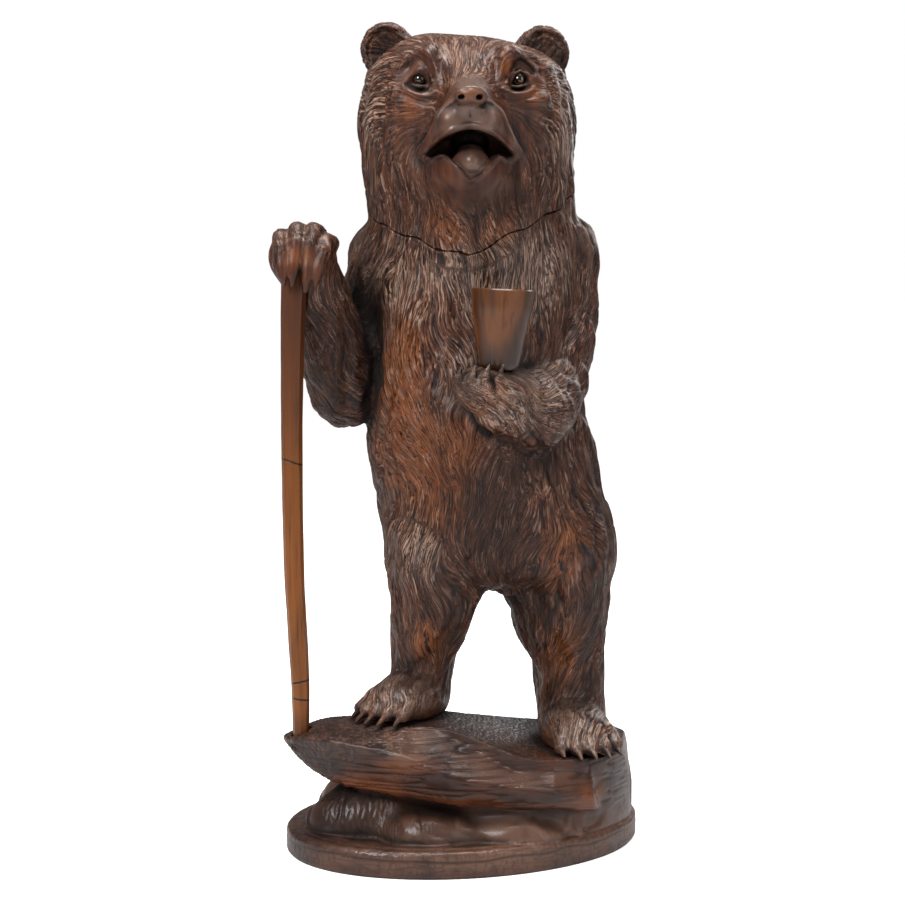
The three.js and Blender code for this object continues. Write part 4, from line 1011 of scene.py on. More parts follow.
class Board:
    def __init__(self, tree):
        self.tree = tree

    def node(self, kind, settings=None, sockets=None, out=0):
        made = self.tree.nodes.new(kind)
        for name, value in (settings or {}).items():
            setattr(made, name, value)
        for name, value in (sockets or {}).items():
            if isinstance(value, Wire):
                self.tree.links.new(value.socket, made.inputs[name])
            else:
                made.inputs[name].default_value = value
        return Wire(self, made.outputs[out]) if made.outputs else made

    def math(self, operation, *values):
        return self.node("ShaderNodeMath", {"operation": operation}, dict(enumerate(values)))

    def mixed(self, factor, a, b):  # two colours
        return self.node("ShaderNodeMix", {"data_type": "RGBA"}, {0: factor, 6: a, 7: b}, 2)

    def blended(self, factor, a, b):  # two numbers
        return self.node("ShaderNodeMix", {"data_type": "FLOAT"}, {0: factor, 2: a, 3: b})

    def noise(self, place, scale, detail=2.0, roughness=0.5):
        sockets = {"Vector": place, "Scale": scale, "Detail": detail, "Roughness": roughness}
        return self.node("ShaderNodeTexNoise", {}, sockets)

    def seeded(self, place, w, scale=1.0):  # noise that also changes with w
        sockets = {"Vector": place, "W": w, "Scale": scale, "Detail": 1.0}
        return self.node("ShaderNodeTexNoise", {"noise_dimensions": "4D"}, sockets)

    def place(self):
        return self.node("ShaderNodeTexCoord", {}, {}, "Object")

    def parts(self, place, axes):
        return [self.node("ShaderNodeSeparateXYZ", {}, {"Vector": place}, axis) for axis in axes]

    def bumped(self, height):
        return self.node("ShaderNodeBump", {}, {"Strength": 1.0, "Distance": 1.0, "Height": height})

    def attribute(self, name, out="Fac"):
        return self.node("ShaderNodeAttribute", {"attribute_name": name}, {}, out)

    def scaled(self, value, factor):  # a vector made longer or shorter
        return self.node("ShaderNodeVectorMath", {"operation": "SCALE"}, {"Vector": value, "Scale": factor})

    def stretched(self, place, scale):  # the place scaled by a different amount along each axis
        return self.node("ShaderNodeMapping", {}, {"Vector": place, "Scale": scale})


def rgb(text):  # a colour written as it looks on a screen
    values = [int(text[i : i + 2], 16) / 255 for i in (0, 2, 4)]
    return (*[v / 12.92 if v < 0.04045 else ((v + 0.055) / 1.055) ** 2.4 for v in values], 1)


def emptyBoard(owner):
    owner.use_nodes = True
    owner.node_tree.nodes.clear()
    return Board(owner.node_tree)


def newMaterial(name, surface):
    material = bpy.data.materials.new(name)
    board = emptyBoard(material)
    shader = board.node("ShaderNodeBsdfPrincipled", {}, surface(board))
    board.node("ShaderNodeOutputMaterial", {}, {"Surface": shader})
    return material


fur = dict(
    # deep: near black for the grooves, and painted into the hollows as shade
    deep=rgb("0e0604"),
    dark=rgb("371b10"),
    plain=rgb("552e1b"),
    rubbed=rgb("743c12"),
    # pale grey painted as sheen and as highlights on the strands
    dusty=rgb("957a69"),
    # grey painted as a waxy sheen on the bare parts
    waxSheen=rgb("5d493f"),
    thick=0.00036,  # half the distance between two strands
    length=0.009,
    depth=0.0003,
)


def strands(board, thick, length):  # long strands along the nap, the two sets of bands fading into each other
    along = board.attribute("along") / length
    heights = []
    for name in ("rootOne", "rootTwo"):
        place = board.scaled(board.attribute(name, "Vector"), 1 / thick)
        heights.append(board.seeded(place, along))
    share = board.attribute("rootShare")
    spread = (share * share + (1 - share) * (1 - share)) ** 0.5
    return (board.blended(share, heights[1], heights[0]) - 0.5) / spread + 0.5


def carvedWood(board):
    place = board.place()
    fine = strands(board, fur["thick"], fur["length"])
    bold = strands(board, fur["thick"] * 2.9, fur["length"] * 2)
    coat = board.attribute("coat")
    groove = board.attribute("groove")
    hollow = board.attribute("hollow")
    rubbed = board.attribute("rubbed")
    dusty = board.attribute("dusty")
    grain = board.noise(board.stretched(place, (260, 260, 30)), 1.0, 3.0)
    clouds = board.noise(place, 60, 3.0, 0.6)
    worn = rubbed * 0.9 + (clouds - 0.5) * 1.2 + (bold - 0.5) * 1.1 + (fine - 0.5) * 0.5
    colour = board.mixed(grain.between(0.35, 0.7), fur["dark"], fur["plain"])
    colour = board.mixed(worn.between(0.15, 1.0) * 0.72, colour, fur["rubbed"])
    # painted sheen: a waxy grey on the bare parts where the painted sheen lies
    colour = board.mixed(dusty * (1 - coat) * 0.75, colour, fur["waxSheen"])
    # painted highlights: pale lines on the ridges of the strands, stronger where the painted sheen lies
    shown = (coat * 0.8 + 0.2) * (1 - groove * 0.6)
    bright = bold.between(0.3, 0.6) * 0.45 + 0.25 + dusty * 0.8
    light = (fine.between(0.48, 0.66) * bright + dusty * 0.36) * shown
    colour = board.mixed(light.between(0.05, 1.15), colour, fur["dusty"])
    low = fine.between(0.5, 0.34) * coat * 0.85 + bold.between(0.42, 0.3) * coat * 0.25 + groove * 0.35
    colour = board.mixed(low.between(0.0, 1.0), colour, fur["deep"])
    # painted shade: near black laid into the hollows, the creases and the patches of painted shade
    colour = board.mixed(hollow * 0.95, colour, fur["deep"])
    height = (fine + bold * 1.1) * coat * fur["depth"] + grain * 0.00004
    return {
        "Base Color": colour,
        "Roughness": board.noise(place, 300, 2.0) * 0.2 + hollow * 0.25 + 0.33 - dusty * 0.06,
        "Coat Weight": (1 - hollow) * (dusty * 0.3 + 0.04),
        "Coat Roughness": 0.28,
        "Specular IOR Level": 0.25,
        "Normal": board.bumped(height),
    }


rockFinish = dict(
    # deep: near black for the tool marks, and painted into the hollows as shade
    deep=rgb("0f0704"),
    dark=rgb("25110a"),
    plain=rgb("402112"),
    orange=rgb("643212"),
    # pale grey painted as sheen
    dusty=rgb("6e5142"),
)


def carvedRock(board):
    place = board.place()
    groove = board.attribute("groove")
    hollow = board.attribute("hollow")
    rubbed = board.attribute("rubbed")
    dusty = board.attribute("dusty")
    grain = board.noise(board.stretched(place, (45, 400, 400)), 1.0, 4.0, 0.6)
    clouds = board.noise(place, 50, 3.0, 0.6)
    pores = board.noise(place, 900, 2.0)
    colour = board.mixed(clouds.between(0.35, 0.68), rockFinish["dark"], rockFinish["plain"])
    stain = (rubbed * 0.8 + (clouds - 0.5) * 0.6 + (grain - 0.5) * 0.9).between(0.2, 1.1)
    colour = board.mixed(stain, colour, rockFinish["orange"])
    colour = board.mixed(grain.between(0.55, 0.7) * 0.55, colour, rockFinish["dark"])
    # painted sheen: pale grey on the patches and on the faces that look up
    pale = dusty * clouds.between(0.25, 0.6) * (1 - groove) * 0.7
    colour = board.mixed(pale, colour, rockFinish["dusty"])
    dark = (groove * 0.5 + pores.between(0.62, 0.75) * 0.3).between(0.0, 1.0)
    colour = board.mixed(dark, colour, rockFinish["deep"])
    # painted shade: near black laid into the hollows of the rock and under the bear
    colour = board.mixed(hollow * 0.85, colour, rockFinish["deep"])
    height = grain * 0.00012 + pores * 0.00006 + clouds * 0.0004
    return {
        "Base Color": colour,
        "Roughness": board.noise(place, 250, 2.0) * 0.22 + hollow * 0.25 + 0.34,
        "Coat Weight": (1 - hollow) * 0.22,
        "Coat Roughness": 0.2,
        "Specular IOR Level": 0.25,
        "Normal": board.bumped(height),
    }


staffFinish = dict(
    low=rgb("754217"),
    high=rgb("4c2813"),
    streak=rgb("402210"),
    crack=rgb("150a05"),
    cracks=[(0.1566, 0.35), (0.0702, -0.2), (0.0637, 0.15)],  # height and slant of the old breaks
)


def whittledWood(board):
    place = board.place()
    x, z = board.parts(place, "XZ")
    grain = board.noise(board.stretched(place, (700, 700, 26)), 1.0, 3.0, 0.6)
    clouds = board.noise(board.stretched(place, (90, 90, 22)), 1.0, 2.0)
    colour = board.mixed(z.between(0.12, 0.215), staffFinish["low"], staffFinish["high"])
    dark = (grain.between(0.5, 0.72) * 0.5 + clouds.between(0.5, 0.72) * 0.5).between(0.0, 1.0)
    colour = board.mixed(dark, colour, staffFinish["streak"])
    colour = board.mixed(z.between(0.062, 0.052) * 0.6, colour, staffFinish["streak"])
    split = 0
    for height, slant in staffFinish["cracks"]:
        away = board.math("ABSOLUTE", z + (x + 0.0655) * slant + (grain - 0.5) * 0.0006 - height)
        split = away.between(0.00045, 0.00015) + split
    split = split.between(0.0, 1.0)
    colour = board.mixed(split, colour, staffFinish["crack"])
    height = grain * 0.0001 - split * 0.0004
    return {
        "Base Color": colour,
        "Roughness": grain * 0.15 + 0.32,
        "Coat Weight": 0.05,
        "Coat Roughness": 0.25,
        "Specular IOR Level": 0.25,
        "Normal": board.bumped(height),
    }


cupFinish = dict(light=rgb("603410"), plain=rgb("3e200a"), dark=rgb("180a04"))


def turnedWood(board):
    place = board.place()
    (z,) = board.parts(place, "Z")
    grain = board.noise(board.stretched(place, (600, 600, 30)), 1.0, 3.0, 0.6)
    clouds = board.noise(board.stretched(place, (120, 120, 26)), 1.0, 2.0)
    colour = board.mixed(clouds.between(0.38, 0.62), cupFinish["plain"], cupFinish["light"])
    colour = board.mixed(grain.between(0.5, 0.75) * 0.55, colour, cupFinish["dark"])
    colour = board.mixed(z.between(0.209, 0.194) * 0.75, colour, cupFinish["dark"])
    return {
        "Base Color": colour,
        "Roughness": grain * 0.12 + 0.3,
        "Coat Weight": 0.3,
        "Coat Roughness": 0.12,
        "Specular IOR Level": 0.3,
        "Normal": board.bumped(grain * 0.00008),
    }


eyeFinish = dict(pupil=rgb("040202"), ring=rgb("4a3117"), edge=rgb("140904"))


def eyeGlass(board):
    gaze = board.attribute("gaze")
    colour = board.mixed(gaze.between(0.88, 0.8), eyeFinish["pupil"], eyeFinish["ring"])
    colour = board.mixed(gaze.between(0.7, 0.5), colour, eyeFinish["edge"])
    return {"Base Color": colour, "Roughness": 0.08, "Coat Weight": 1.0, "Coat Roughness": 0.03}


woodMaterial = newMaterial("stainedCarvedWood", carvedWood)
rockMaterial = newMaterial("stainedCarvedRock", carvedRock)
staffMaterial = newMaterial("whittledStaffWood", whittledWood)
cupMaterial = newMaterial("turnedCupWood", turnedWood)
eyeMaterial = newMaterial("eyeGlass", eyeGlass)
print("materials ready")

# Pieces


def meshObject(name, points, faces):  # points in millimetres in the bear's frame
    mesh = bpy.data.meshes.new(name)
    mesh.vertices.add(len(points))
    mesh.vertices.foreach_set("co", ((points + rowShift) * 0.001).astype(np.float32).ravel())
    mesh.loops.add(faces.size)
    mesh.loops.foreach_set("vertex_index", faces.astype(np.int32).ravel())
    mesh.polygons.add(len(faces))
    mesh.polygons.foreach_set("loop_start", np.arange(0, faces.size, faces.shape[1], dtype=np.int32))
    mesh.update(calc_edges=True)
    return placed(name, mesh)


def pointsOf(mesh):
    points = np.zeros(len(mesh.vertices) * 3, np.float32)
    mesh.vertices.foreach_get("co", points)
    return points.reshape(-1, 3) * 1000 - rowShift


def setAttributes(mesh, **values):
    for name, value in values.items():
        vector = value.ndim == 2
        made = mesh.attributes.new(name, "FLOAT_VECTOR" if vector else "FLOAT", "POINT")
        made.data.foreach_set("vector" if vector else "value", value.astype(np.float32).ravel())


def finished(made, replaces, material):
    made.data.materials.clear()
    made.data.materials.append(material)
    made.data.polygons.foreach_set("use_smooth", np.ones(len(made.data.polygons), bool))
    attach(made, "root")
    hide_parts(replaces)
    print(replaces, "stands finished with", len(made.data.polygons), "faces")


def evaluated(made):  # the same object with its modifiers worked into a plain mesh
    view = bpy.context.evaluated_depsgraph_get()
    mesh = bpy.data.meshes.new_from_object(made.evaluated_get(view))
    made.modifiers.clear()
    made.data = mesh
    return made


def insideBox(points):  # the row's box holds every piece
    low, high = (np.array(v) * 1000 - rowShift for v in cadBox)
    return np.clip(points, low + 0.03, high - 0.03)


def netOf(name, form, step, low, high):  # grid points of the surface, its faces and the way straight out
    points, faces = netted(sampled(form, low, high, step), low, step)
    out = slopeOf(form, points)
    points = points - out * np.clip(measured(form, points), -step, step)[:, None]
    print(name, "formed with", len(points), "points")
    return points, faces, out


def thinned(made, triangles):
    thin = made.modifiers.new("thin", "DECIMATE")
    thin.ratio = min(1, triangles / (2 * len(made.data.polygons)))
    return evaluated(made)


def hollowness(form, points, out, reaches):  # 0 in the open, 1 deep in a hollow; painted into the colours as shade
    shade = 0
    for reach in reaches:
        shade = shade + np.clip(1 - measured(form, points + out * reach) / reach, 0, 1) / len(reaches)
    return smoothStep(0.15, 0.8, shade)


def spotted(points, spots):  # soft patches, given by their place and size as seen from the front
    x, y, z = points.T
    total = sum(np.exp(-(((x - sx) / rx) ** 2) - ((z - sz) / rz) ** 2) for sx, sz, rx, rz in spots)
    return np.clip(total, 0, 1)


coat = dict(
    lockGrain=3.3,
    lockLength=30,
    lockDepth=0.45,
    strokeGrain=1.3,
    strokeLength=18,
    strokeDepth=0.3,
    plainBack=0.5,  # share of the depth that is left on the back
    bodyStep=0.5,
    headStep=0.42,
    triangles=194000,
)


def coatStrength(points):  # full on the fur, none on the bare parts
    x, y, z = points.T
    bare = [
        ((middle, -60, 292), 12, 24),
        ((middle, -54, 279), 14, 24),
        ((middle, -48, 268), 9, 17),
        *[((x0, y0 - 2, z0), 6, 10) for x0, y0, z0 in (eyeCentre(-1), eyeCentre(1))],
        ((-62, -46, 230), 6, 14),
    ]
    strength = np.ones(len(points), np.float32)
    for (cx, cy, cz), near, far in bare:
        strength *= smoothStep(near, far, np.sqrt((x - cx) ** 2 + (y - cy) ** 2 + (z - cz) ** 2))
    mask = smoothStep(27, 33, np.abs(x - middle - 0.4) + np.maximum(0, 274 - z) * 0.8)
    onFace = smoothStep(-4, -14, y) * smoothStep(252, 262, z) * (1 - mask)
    strength *= 1 - 0.4 * onFace
    return strength * (smoothStep(2, 12, z - rockTop(x)) * 0.7 + 0.3)


def groovesOf(values, width):  # narrow valleys where the smeared noise changes sign
    return np.exp(-((values / width) ** 2))


rubbedSpots = [
    # x, z, radius across and radius up, as seen from the front
    (-20, 204, 11, 15),
    (-24, 182, 10, 14),
    (-18, 160, 14, 16),
    (2, 168, 8, 14),
    (-8, 140, 12, 12),
    (-14, 84, 8, 12),
    (40, 120, 14, 16),
    (42, 78, 8, 18),
    (14, 184, 8, 8),
    (-20, 293, 5, 6),
    (27, 298, 6, 5),
    (17, 310, 3.5, 5),
    (-62, 236, 7, 6),
    (3.3, 295.6, 6, 3),
    (-8, 246, 10, 10),
    (16, 246, 9, 8),
]
# the same for the patches of painted sheen and of painted shade
# painted sheen: pale patches on the chest, the ruff, the muzzle, the tongue and the knees
dustySpots = [
    (-25, 228, 15, 17),
    (30, 232, 16, 14),
    (-37, 296, 5, 14),
    (40, 284, 5, 18),
    (3, 288, 8, 6),
    (4, 270, 5, 4),
    (4, 302, 6, 5),
    (18, 180, 18, 10),
    (-17, 122, 9, 12),
    (4, 284, 10, 6),
    (10, 226, 20, 12),
    (6, 196, 10, 6),
    (-22, 62, 12, 6),
    (48, 48, 12, 6),
]
# painted shade: darker patches where the arms, the legs, the chin and the right side lie in shade
shadeSpots = [
    (-50, 196, 8, 24),
    (-38, 210, 4, 26),
    (24, 194, 10, 7),
    (14, 118, 12, 14),
    (-6, 100, 6, 16),
    (30, 100, 8, 18),
    (52, 100, 7, 30),
    (30, 156, 16, 5),
    (57, 160, 6, 30),
    (46, 62, 12, 8),
    (2, 258, 12, 5),
    (10, 140, 14, 16),
]


def furPiece(name, form, step, low, high, replaces):
    points, faces, out = netOf(name, form, step, low, high)
    lock = streaks(points, coat["lockGrain"], coat["lockLength"], 8, 1)
    stroke = streaks(points, coat["strokeGrain"], coat["strokeLength"], 8, 2)
    skin = smoothStep(1.2, 0.3, np.abs(measured(figure, points)))
    strength = coatStrength(points) * skin
    lockGroove = groovesOf(lock, 0.35)
    strokeGroove = groovesOf(stroke, 0.42)
    front = coat["plainBack"] + (1 - coat["plainBack"]) * smoothStep(0.5, -0.1, out[:, 1])
    depth = strength * front * (coat["lockDepth"] * lockGroove + coat["strokeDepth"] * strokeGroove)
    made = meshObject(name, insideBox(points - out * depth[:, None]), faces)
    groove = np.clip(strokeGroove * 0.7 + lockGroove * 0.6, 0, 1) * strength
    setAttributes(made.data, groove=groove, coat=strength)
    thinned(made, coat["triangles"])
    points = pointsOf(made.data)
    out = slopeOf(figure, points, 0.6)
    (one, two), share, along = strandRoots(points)
    setAttributes(made.data, rootOne=one * 0.001, rootTwo=two * 0.001, rootShare=share, along=along * 0.001)
    nearMouth = np.exp(-np.sum((points - (middle, -46, 275)) ** 2, axis=1) / 16**2)
    # painted shade: how shut in each point lies, eased in the mouth and near the ears
    hollow = hollowness(form, points, out, (4, 10)) * (1 - 0.85 * nearMouth)
    hollow = hollow * smoothStep(330, 306, points[:, 2])
    # painted shade in the creases of the bare parts, such as between the fingers
    crease = hollowness(figure, points, out, (1.4,)) * (1 - coatStrength(points))
    # painted shade in patches
    spotShade = 0.6 * spotted(points, shadeSpots)
    setAttributes(
        made.data,
        hollow=np.clip(hollow + crease + spotShade, 0, 1),
        rubbed=spotted(points, rubbedSpots) * smoothStep(0.2, -0.5, out[:, 1]),
        # painted sheen: the pale patches, and a top light painted on the faces that look up
        dusty=np.clip(spotted(points, dustySpots) + 0.5 * smoothStep(0.1, 0.9, out[:, 2]), 0, 1),
    )
    finished(made, replaces, woodMaterial)


furPiece("carvedBody", bodyForm, coat["bodyStep"], (-84, -78, 34), (76, 60, 286), "bear_body")
furPiece("carvedHeadLid", headForm, coat["headStep"], (-50, -76, 226), (54, 44, 336), "bear_head_lid")

tools = dict(
    gouge=(2, 4.6, 0.3),  # along the ring, up, and depth in millimetres
    facet=(11, 0.9),
    ringMark=(5, 0.6, 0.16),
    ringNick=(0.6, 3, 0.14),
    ringGroove=(7.6, 0.5, 0.3),
    chisel=(16, 1.4, 0.3),
    upright=(1.2, 14, 0.35),
    stipple=(0.8, 0.26),
    step=0.5,
    triangles=190000,
)


def toolMarks(points, out):  # how deep the gouge, the chisel and the punch went in
    x, y, z = points.T
    reach = plinthReach(x, y)
    around = np.arctan2(y - plinth["y"], x - plinth["x"]) * plinth["mean"]
    slab = smoothStep(23, 26, z + 0.12 * x) * smoothStep(-12, -20, y)
    top = smoothStep(0.75, 0.92, out[:, 2]) * smoothStep(32, 37, z)
    ring = smoothStep(-8, -6, reach) * smoothStep(14, 11, z)
    along, up, depth = tools["gouge"]
    row = np.floor((around + 0.4 * z) / along)
    v = (around + 0.4 * z) / along - row - 0.5
    u = z / up + 0.43 * row + np.where(row % 2 > 0, 0.8, -0.8) * v
    u = u - np.floor(u) - 0.5
    onMound = (1 - ring) * (1 - slab) * smoothStep(38, 30, z)
    worked = smoothStep(-0.2, 0.5, noise(points, 14, 8))
    scoops = depth * (1 - 4 * u * u) * (1 - 4 * v * v) * worked * onMound
    wide, depth = tools["facet"]
    facets = np.abs(noise(points / (wide, wide, wide * 1.6), 1, 9))
    scoops = scoops + depth * onMound * smoothStep(0.2, 0.9, facets)
    flat = np.stack([around, z, reach], 1)
    wide, tall, depth = tools["ringMark"]
    nicks = depth * ring * groovesOf(noise(flat / (wide, tall, 2), 1, 4), 0.45)
    wide, tall, depth = tools["ringNick"]
    nicks = np.maximum(nicks, depth * ring * smoothStep(0.4, 1.2, noise(flat / (wide, tall, 3), 1, 10)))
    level, half, depth = tools["ringGroove"]
    wander = 0.4 * noise(points, 12, 11)
    nicks = np.maximum(nicks, depth * ring * groovesOf(z - level + wander, half) * smoothStep(-4, -2, reach))
    wide, tall, depth = tools["chisel"]
    chips = depth * slab * (1 - top) * groovesOf(noise(points / (wide, wide, tall), 1, 5), 0.35)
    wide, tall, depth = tools["upright"]
    leftFace = smoothStep(0.0, -0.5, out[:, 0] - 0.2 * (x + 40) / 30)
    leftFace = leftFace * smoothStep(20, 26, z) * smoothStep(-34, -44, x)
    cuts = depth * leftFace * groovesOf(noise(points / (wide, wide, tall), 1, 6), 0.45)
    wide, depth = tools["stipple"]
    dots = depth * top * smoothStep(0.1, 0.9, np.abs(noise(points / (1, 1.6, 1), wide, 7)))
    return scoops, np.maximum(np.maximum(nicks, chips), np.maximum(cuts, dots))


# orange stain patches on the rock, then pale patches of painted sheen
orangeSpots = [(-40, 32, 26, 6), (0, 24, 40, 5), (50, 26, 10, 8), (-20, 42, 20, 4)]
paleSpots = [(-48, 50, 22, 6), (-10, 46, 18, 5), (1, 8, 75, 7), (20, 16, 24, 5)]


def rockPiece():
    points, faces, out = netOf("carvedRock", baseForm, tools["step"], (-84, -74, -6), (84, 62, 58))
    scoops, marks = toolMarks(points, out)
    free = smoothStep(0.1, 0.6, points[:, 2])
    made = meshObject("carvedRock", insideBox(points - out * ((scoops + marks) * free)[:, None]), faces)
    setAttributes(made.data, groove=np.clip(marks / 0.35, 0, 1))
    thinned(made, tools["triangles"])
    points = pointsOf(made.data)
    out = slopeOf(baseForm, points, 0.6)
    ahead = smoothStep(0.2, -0.4, out[:, 1])
    setAttributes(
        made.data,
        # painted shade: how shut in each point of the rock lies, the bear included
        hollow=hollowness(lambda *p: np.minimum(baseForm(*p), bodyForm(*p)), points, out, (3, 9)),
        rubbed=spotted(points, orangeSpots) * ahead,
        # painted sheen: the pale patches, and a top light painted on the faces that look up
        dusty=np.clip(spotted(points, paleSpots) * ahead + 0.3 * smoothStep(0.1, 0.9, out[:, 2]), 0, 1),
    )
    finished(made, "rock_base", rockMaterial)


rockPiece()


class Recipe:  # a Geometry Nodes tree with named inputs
    def __init__(self, name, inputs):
        self.tree = bpy.data.node_groups.new(name, "GeometryNodeTree")
        self.board = Board(self.tree)
        self.keys = {}
        self.tree.interface.new_socket("Geometry", in_out="INPUT", socket_type="NodeSocketGeometry")
        self.tree.interface.new_socket("Geometry", in_out="OUTPUT", socket_type="NodeSocketGeometry")
        for label, kind in inputs.items():
            made = self.tree.interface.new_socket(label, in_out="INPUT", socket_type=kind)
            self.keys[label] = made.identifier
        self.entry = self.tree.nodes.new("NodeGroupInput")

    def given(self, label):
        return Wire(self.board, self.entry.outputs[label])

    def close(self, shape):
        shape = self.board.node("GeometryNodeRealizeInstances", {}, {"Geometry": shape})
        sockets = {"Geometry": shape, "Material": self.given("Material")}
        shape = self.board.node("GeometryNodeSetMaterial", {}, sockets)
        self.board.node("NodeGroupOutput", {}, {"Geometry": shape})

    def grow(self, name, line, thick, values):  # from a line of points in metres, each with a thickness
        mesh = bpy.data.meshes.new(name)
        places = [tuple(float(v) for v in p) for p in line]
        mesh.from_pydata(places, [(i, i + 1) for i in range(len(line) - 1)], [])
        setAttributes(mesh, thick=np.array(thick))
        made = placed(name, mesh)
        nodes = made.modifiers.new("shape", "NODES")
        nodes.node_group = self.tree
        for label, value in values.items():
            nodes[self.keys[label]] = value
        return evaluated(made)


def whittledRod():  # a rod with flat sides along a path, with shallow knife cuts
    recipe = Recipe(
        "whittledRod",
        {
            "Sides": "NodeSocketInt",
            "Steps": "NodeSocketInt",
            "Cut Length": "NodeSocketFloat",
            "Cut Depth": "NodeSocketFloat",
            "Seed": "NodeSocketFloat",
            "Material": "NodeSocketMaterial",
        },
    )
    board, given = recipe.board, recipe.given
    thick = board.node("GeometryNodeInputNamedAttribute", {"data_type": "FLOAT"}, {"Name": "thick"})
    path = board.node("GeometryNodeMeshToCurve", {}, {"Mesh": given("Geometry")})
    path = board.node("GeometryNodeCurveSplineType", {"spline_type": "CATMULL_ROM"}, {"Curve": path})
    path = board.node("GeometryNodeResampleCurve", {}, {"Curve": path, "Count": given("Steps")})
    section = {"Resolution": given("Sides"), "Radius": 1.0}
    section = board.node("GeometryNodeCurvePrimitiveCircle", {}, section)
    section = board.node("GeometryNodeResampleCurve", {}, {"Curve": section, "Count": given("Sides") * 4})
    sweep = {"Curve": path, "Profile Curve": section, "Scale": thick, "Fill Caps": True}
    rod = board.node("GeometryNodeCurveToMesh", {}, sweep)
    place = board.node("GeometryNodeInputPosition")
    x, y, z = board.parts(place, "XYZ")
    at = board.node("ShaderNodeCombineXYZ", {}, {"X": x * 400, "Y": y * 400, "Z": z / given("Cut Length")})
    rough = board.seeded(at, given("Seed"))
    out = board.node("GeometryNodeInputNormal")
    offset = board.scaled(out, (rough - 1.0) * given("Cut Depth"))
    recipe.close(board.node("GeometryNodeSetPosition", {}, {"Geometry": rod, "Offset": offset}))
    return recipe


def turnedShape():  # a profile of radius and height swept round an upright axis, closed where it meets it
    recipe = Recipe(
        "turnedShape",
        {
            "Facets": "NodeSocketInt",
            "Waver": "NodeSocketFloat",
            "Seed": "NodeSocketFloat",
            "Material": "NodeSocketMaterial",
        },
    )
    board, given = recipe.board, recipe.given
    profile = board.node("GeometryNodeMeshToCurve", {}, {"Mesh": given("Geometry")})
    ring = board.node("GeometryNodeCurvePrimitiveCircle", {}, {"Resolution": given("Facets"), "Radius": 0.01})
    shape = board.node("GeometryNodeCurveToMesh", {}, {"Curve": ring, "Profile Curve": profile})
    place = board.node("GeometryNodeInputPosition")
    rough = board.seeded(place, given("Seed"), 110.0)
    out = board.node("GeometryNodeInputNormal")
    offset = board.scaled(out, (rough - 0.5) * given("Waver"))
    shape = board.node("GeometryNodeSetPosition", {}, {"Geometry": shape, "Offset": offset})
    recipe.close(board.node("GeometryNodeMergeByDistance", {}, {"Geometry": shape, "Distance": 0.00002}))
    return recipe


whittling = dict(sides=8, steps=170, cutLength=0.022, cutDepth=0.0007, seed=4.0)
staffPiece = whittledRod().grow(
    "whittledStaff",
    [(np.array(knot[:3]) + rowShift) * 0.001 for knot in staffKnots],
    [knot[3] * 0.001 for knot in staffKnots],
    {
        "Sides": whittling["sides"],
        "Steps": whittling["steps"],
        "Cut Length": whittling["cutLength"],
        "Cut Depth": whittling["cutDepth"],
        "Seed": whittling["seed"],
        "Material": staffMaterial,
    },
)
finished(staffPiece, "walking_staff", staffMaterial)
staffPiece.data.set_sharp_from_angle(angle=math.radians(24))

turning = dict(facets=120, waver=0.0004, seed=2.0, lip=0.45)


def cupProfile():  # from the middle of the inner floor over the rim to the middle of the foot
    foot, rim, wall, tall = cup["footRadius"], cup["rimRadius"], cup["wall"], cup["height"]
    floorHeight, lip = cup["floor"], turning["lip"]
    corners = [
        (0, floorHeight),
        (foot - wall - 1.5, floorHeight),
        (foot - wall, floorHeight + 1.5),
        (rim - wall - 0.9, tall * 0.7),
        (rim - wall, tall - lip),
        (rim - wall + lip, tall),
        (rim - lip, tall),
        (rim - 0.05, tall - lip),
        (rim - 0.7, tall * 0.75),
        (foot, 1.2),
        (foot - 1, 0),
        (0, 0),
    ]
    line = []
    for (ar, az), (br, bz) in zip(corners, corners[1:]):
        pieces = max(1, round(math.hypot(br - ar, bz - az) / 1.2))
        line += [(ar + (br - ar) * i / pieces, az + (bz - az) * i / pieces) for i in range(pieces)]
    return [*line, corners[-1]]


cupPiece = turnedShape().grow(
    "turnedCup",
    [((r - 10) * 0.001, -z * 0.001, 0) for r, z in cupProfile()],
    [1.0] * len(cupProfile()),
    {
        "Facets": turning["facets"],
        "Waver": turning["waver"],
        "Seed": turning["seed"],
        "Material": cupMaterial,
    },
)
upright = pointsOf(cupPiece.data) + rowShift
leaned = upright @ turnOf(0, 0, cup["tilt"]).T + (cup["x"], cup["y"], cup["foot"]) + rowShift
cupPiece.data.vertices.foreach_set("co", (leaned * 0.001).astype(np.float32).ravel())
finished(cupPiece, "drinking_cup", cupMaterial)
cupPiece.data.set_sharp_from_angle(angle=math.radians(40))

gazeWay = dict(turn=-9, lift=-4)  # in degrees, from straight ahead


def glassEye(name, side):
    shape = bmesh.new()
    bmesh.ops.create_icosphere(shape, subdivisions=5, radius=1)
    ball = np.array([v.co for v in shape.verts])
    faces = np.array([[v.index for v in face.verts] for face in shape.faces])
    shape.free()
    made = meshObject(name, ball * eye["radius"] + eyeCentre(side), faces)
    turn, lift = math.radians(gazeWay["turn"]), math.radians(gazeWay["lift"])
    ahead = (math.sin(turn) * math.cos(lift), -math.cos(turn) * math.cos(lift), math.sin(lift))
    setAttributes(made.data, gaze=ball @ np.array(ahead))
    return made


finished(glassEye("glassEyeRight", -1), "glass_eye_right", eyeMaterial)
finished(glassEye("glassEyeLeft", 1), "glass_eye_left", eyeMaterial)

# Camera, floor and light

view = dict(
    sensor=36,
    focalPixels=2000,  # the photograph's focal length and its width
    imagePixels=905,
    place=(-0.0045, -0.8026, 0.223),
    tilt=4.6,  # degrees down from level
)
camera = placed("camera", bpy.data.cameras.new("camera"))
scene.camera = camera
camera.data.sensor_width = view["sensor"]
camera.data.lens = view["focalPixels"] / view["imagePixels"] * view["sensor"]
camera.data.clip_start = 0.01
camera.location = view["place"]
camera.rotation_euler = (math.radians(90 - view["tilt"]), 0, 0)

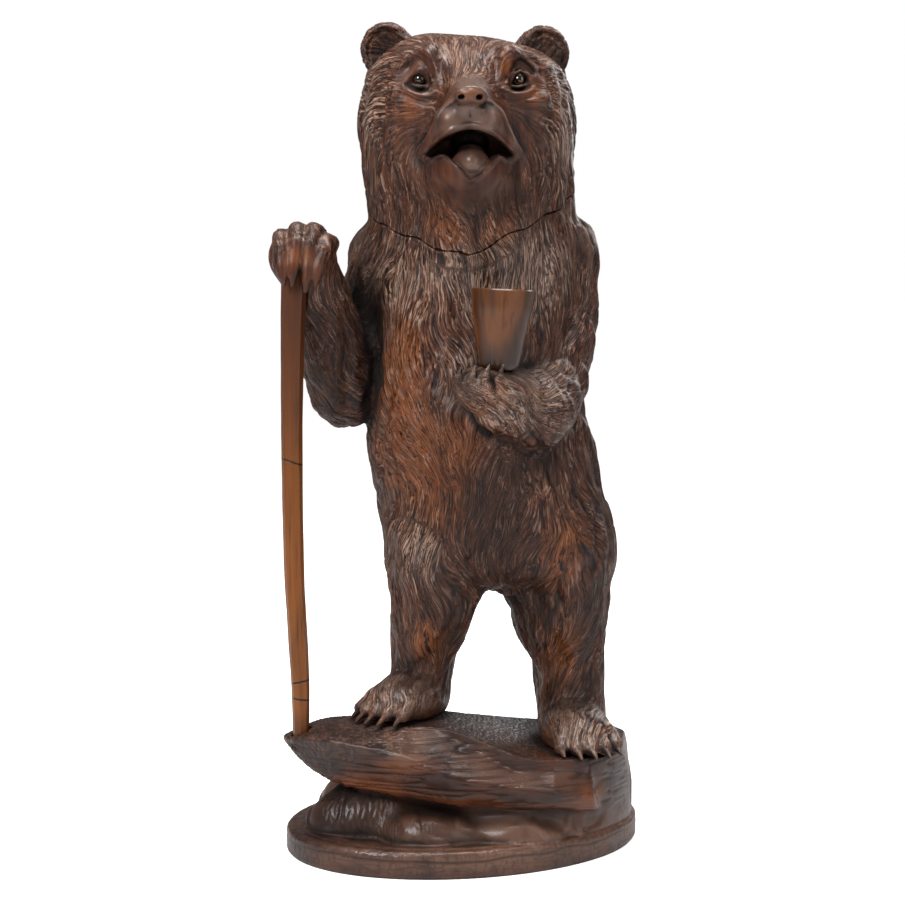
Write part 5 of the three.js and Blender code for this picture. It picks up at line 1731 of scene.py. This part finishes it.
studio = dict(
    world=0.22,  # light from all round
    backdrop=1.0,  # and how bright it looks
    floorGlow=0.84,
    lamps=[
        # name, place, size across and up, power and what it points at
        ("keyLamp", (-0.75, -0.9, 1.0), (0.5, 0.5), 17, (0, 0, 0.2)),
        ("fillLamp", (0.95, -0.8, 0.55), (0.4, 0.8), 3.5, (0, 0, 0.17)),
        ("topLamp", (0.05, -0.15, 1.25), (0.7, 0.5), 15, (0, 0, 0.2)),
        ("rimLamp", (0.5, 0.8, 0.6), (0.5, 0.6), 3, (0, 0, 0.18)),
    ],
)
floorMesh = bpy.data.meshes.new("floor")
floorMesh.from_pydata([(-40, -40, 0), (40, -40, 0), (40, 40, 0), (-40, 40, 0)], [], [(0, 1, 2, 3)])
floor = placed("floor", floorMesh)
paleFloor = bpy.data.materials.new("paleFloor")
board = emptyBoard(paleFloor)
seen = board.node("ShaderNodeLightPath", {}, {}, "Is Camera Ray")
pale = board.node("ShaderNodeBsdfDiffuse", {}, {"Color": (0.8, 0.8, 0.8, 1)})
glow = board.node("ShaderNodeEmission", {}, {"Color": (1, 1, 1, 1), "Strength": seen * studio["floorGlow"]})
both = board.node("ShaderNodeAddShader", {}, {0: pale, 1: glow})
board.node("ShaderNodeOutputMaterial", {}, {"Surface": both})
floorMesh.materials.append(paleFloor)

for name, place, size, power, aim in studio["lamps"]:
    lamp = bpy.data.lights.new(name, "AREA")
    lamp.shape, lamp.size, lamp.size_y, lamp.energy = "RECTANGLE", *size, power
    holder = placed(name, lamp)
    holder.location = place
    holder.rotation_euler = (Vector(aim) - Vector(place)).to_track_quat("-Z", "Y").to_euler()
world = bpy.data.worlds.new("studio")
scene.world = world
board = emptyBoard(world)
seen = board.node("ShaderNodeLightPath", {}, {}, "Is Camera Ray")
strength = studio["world"] + seen * (studio["backdrop"] - studio["world"])
sky = board.node("ShaderNodeBackground", {}, {"Color": (1, 1, 1, 1), "Strength": strength})
board.node("ShaderNodeOutputWorld", {}, {"Surface": sky})
scene.view_settings.view_transform = "Standard"
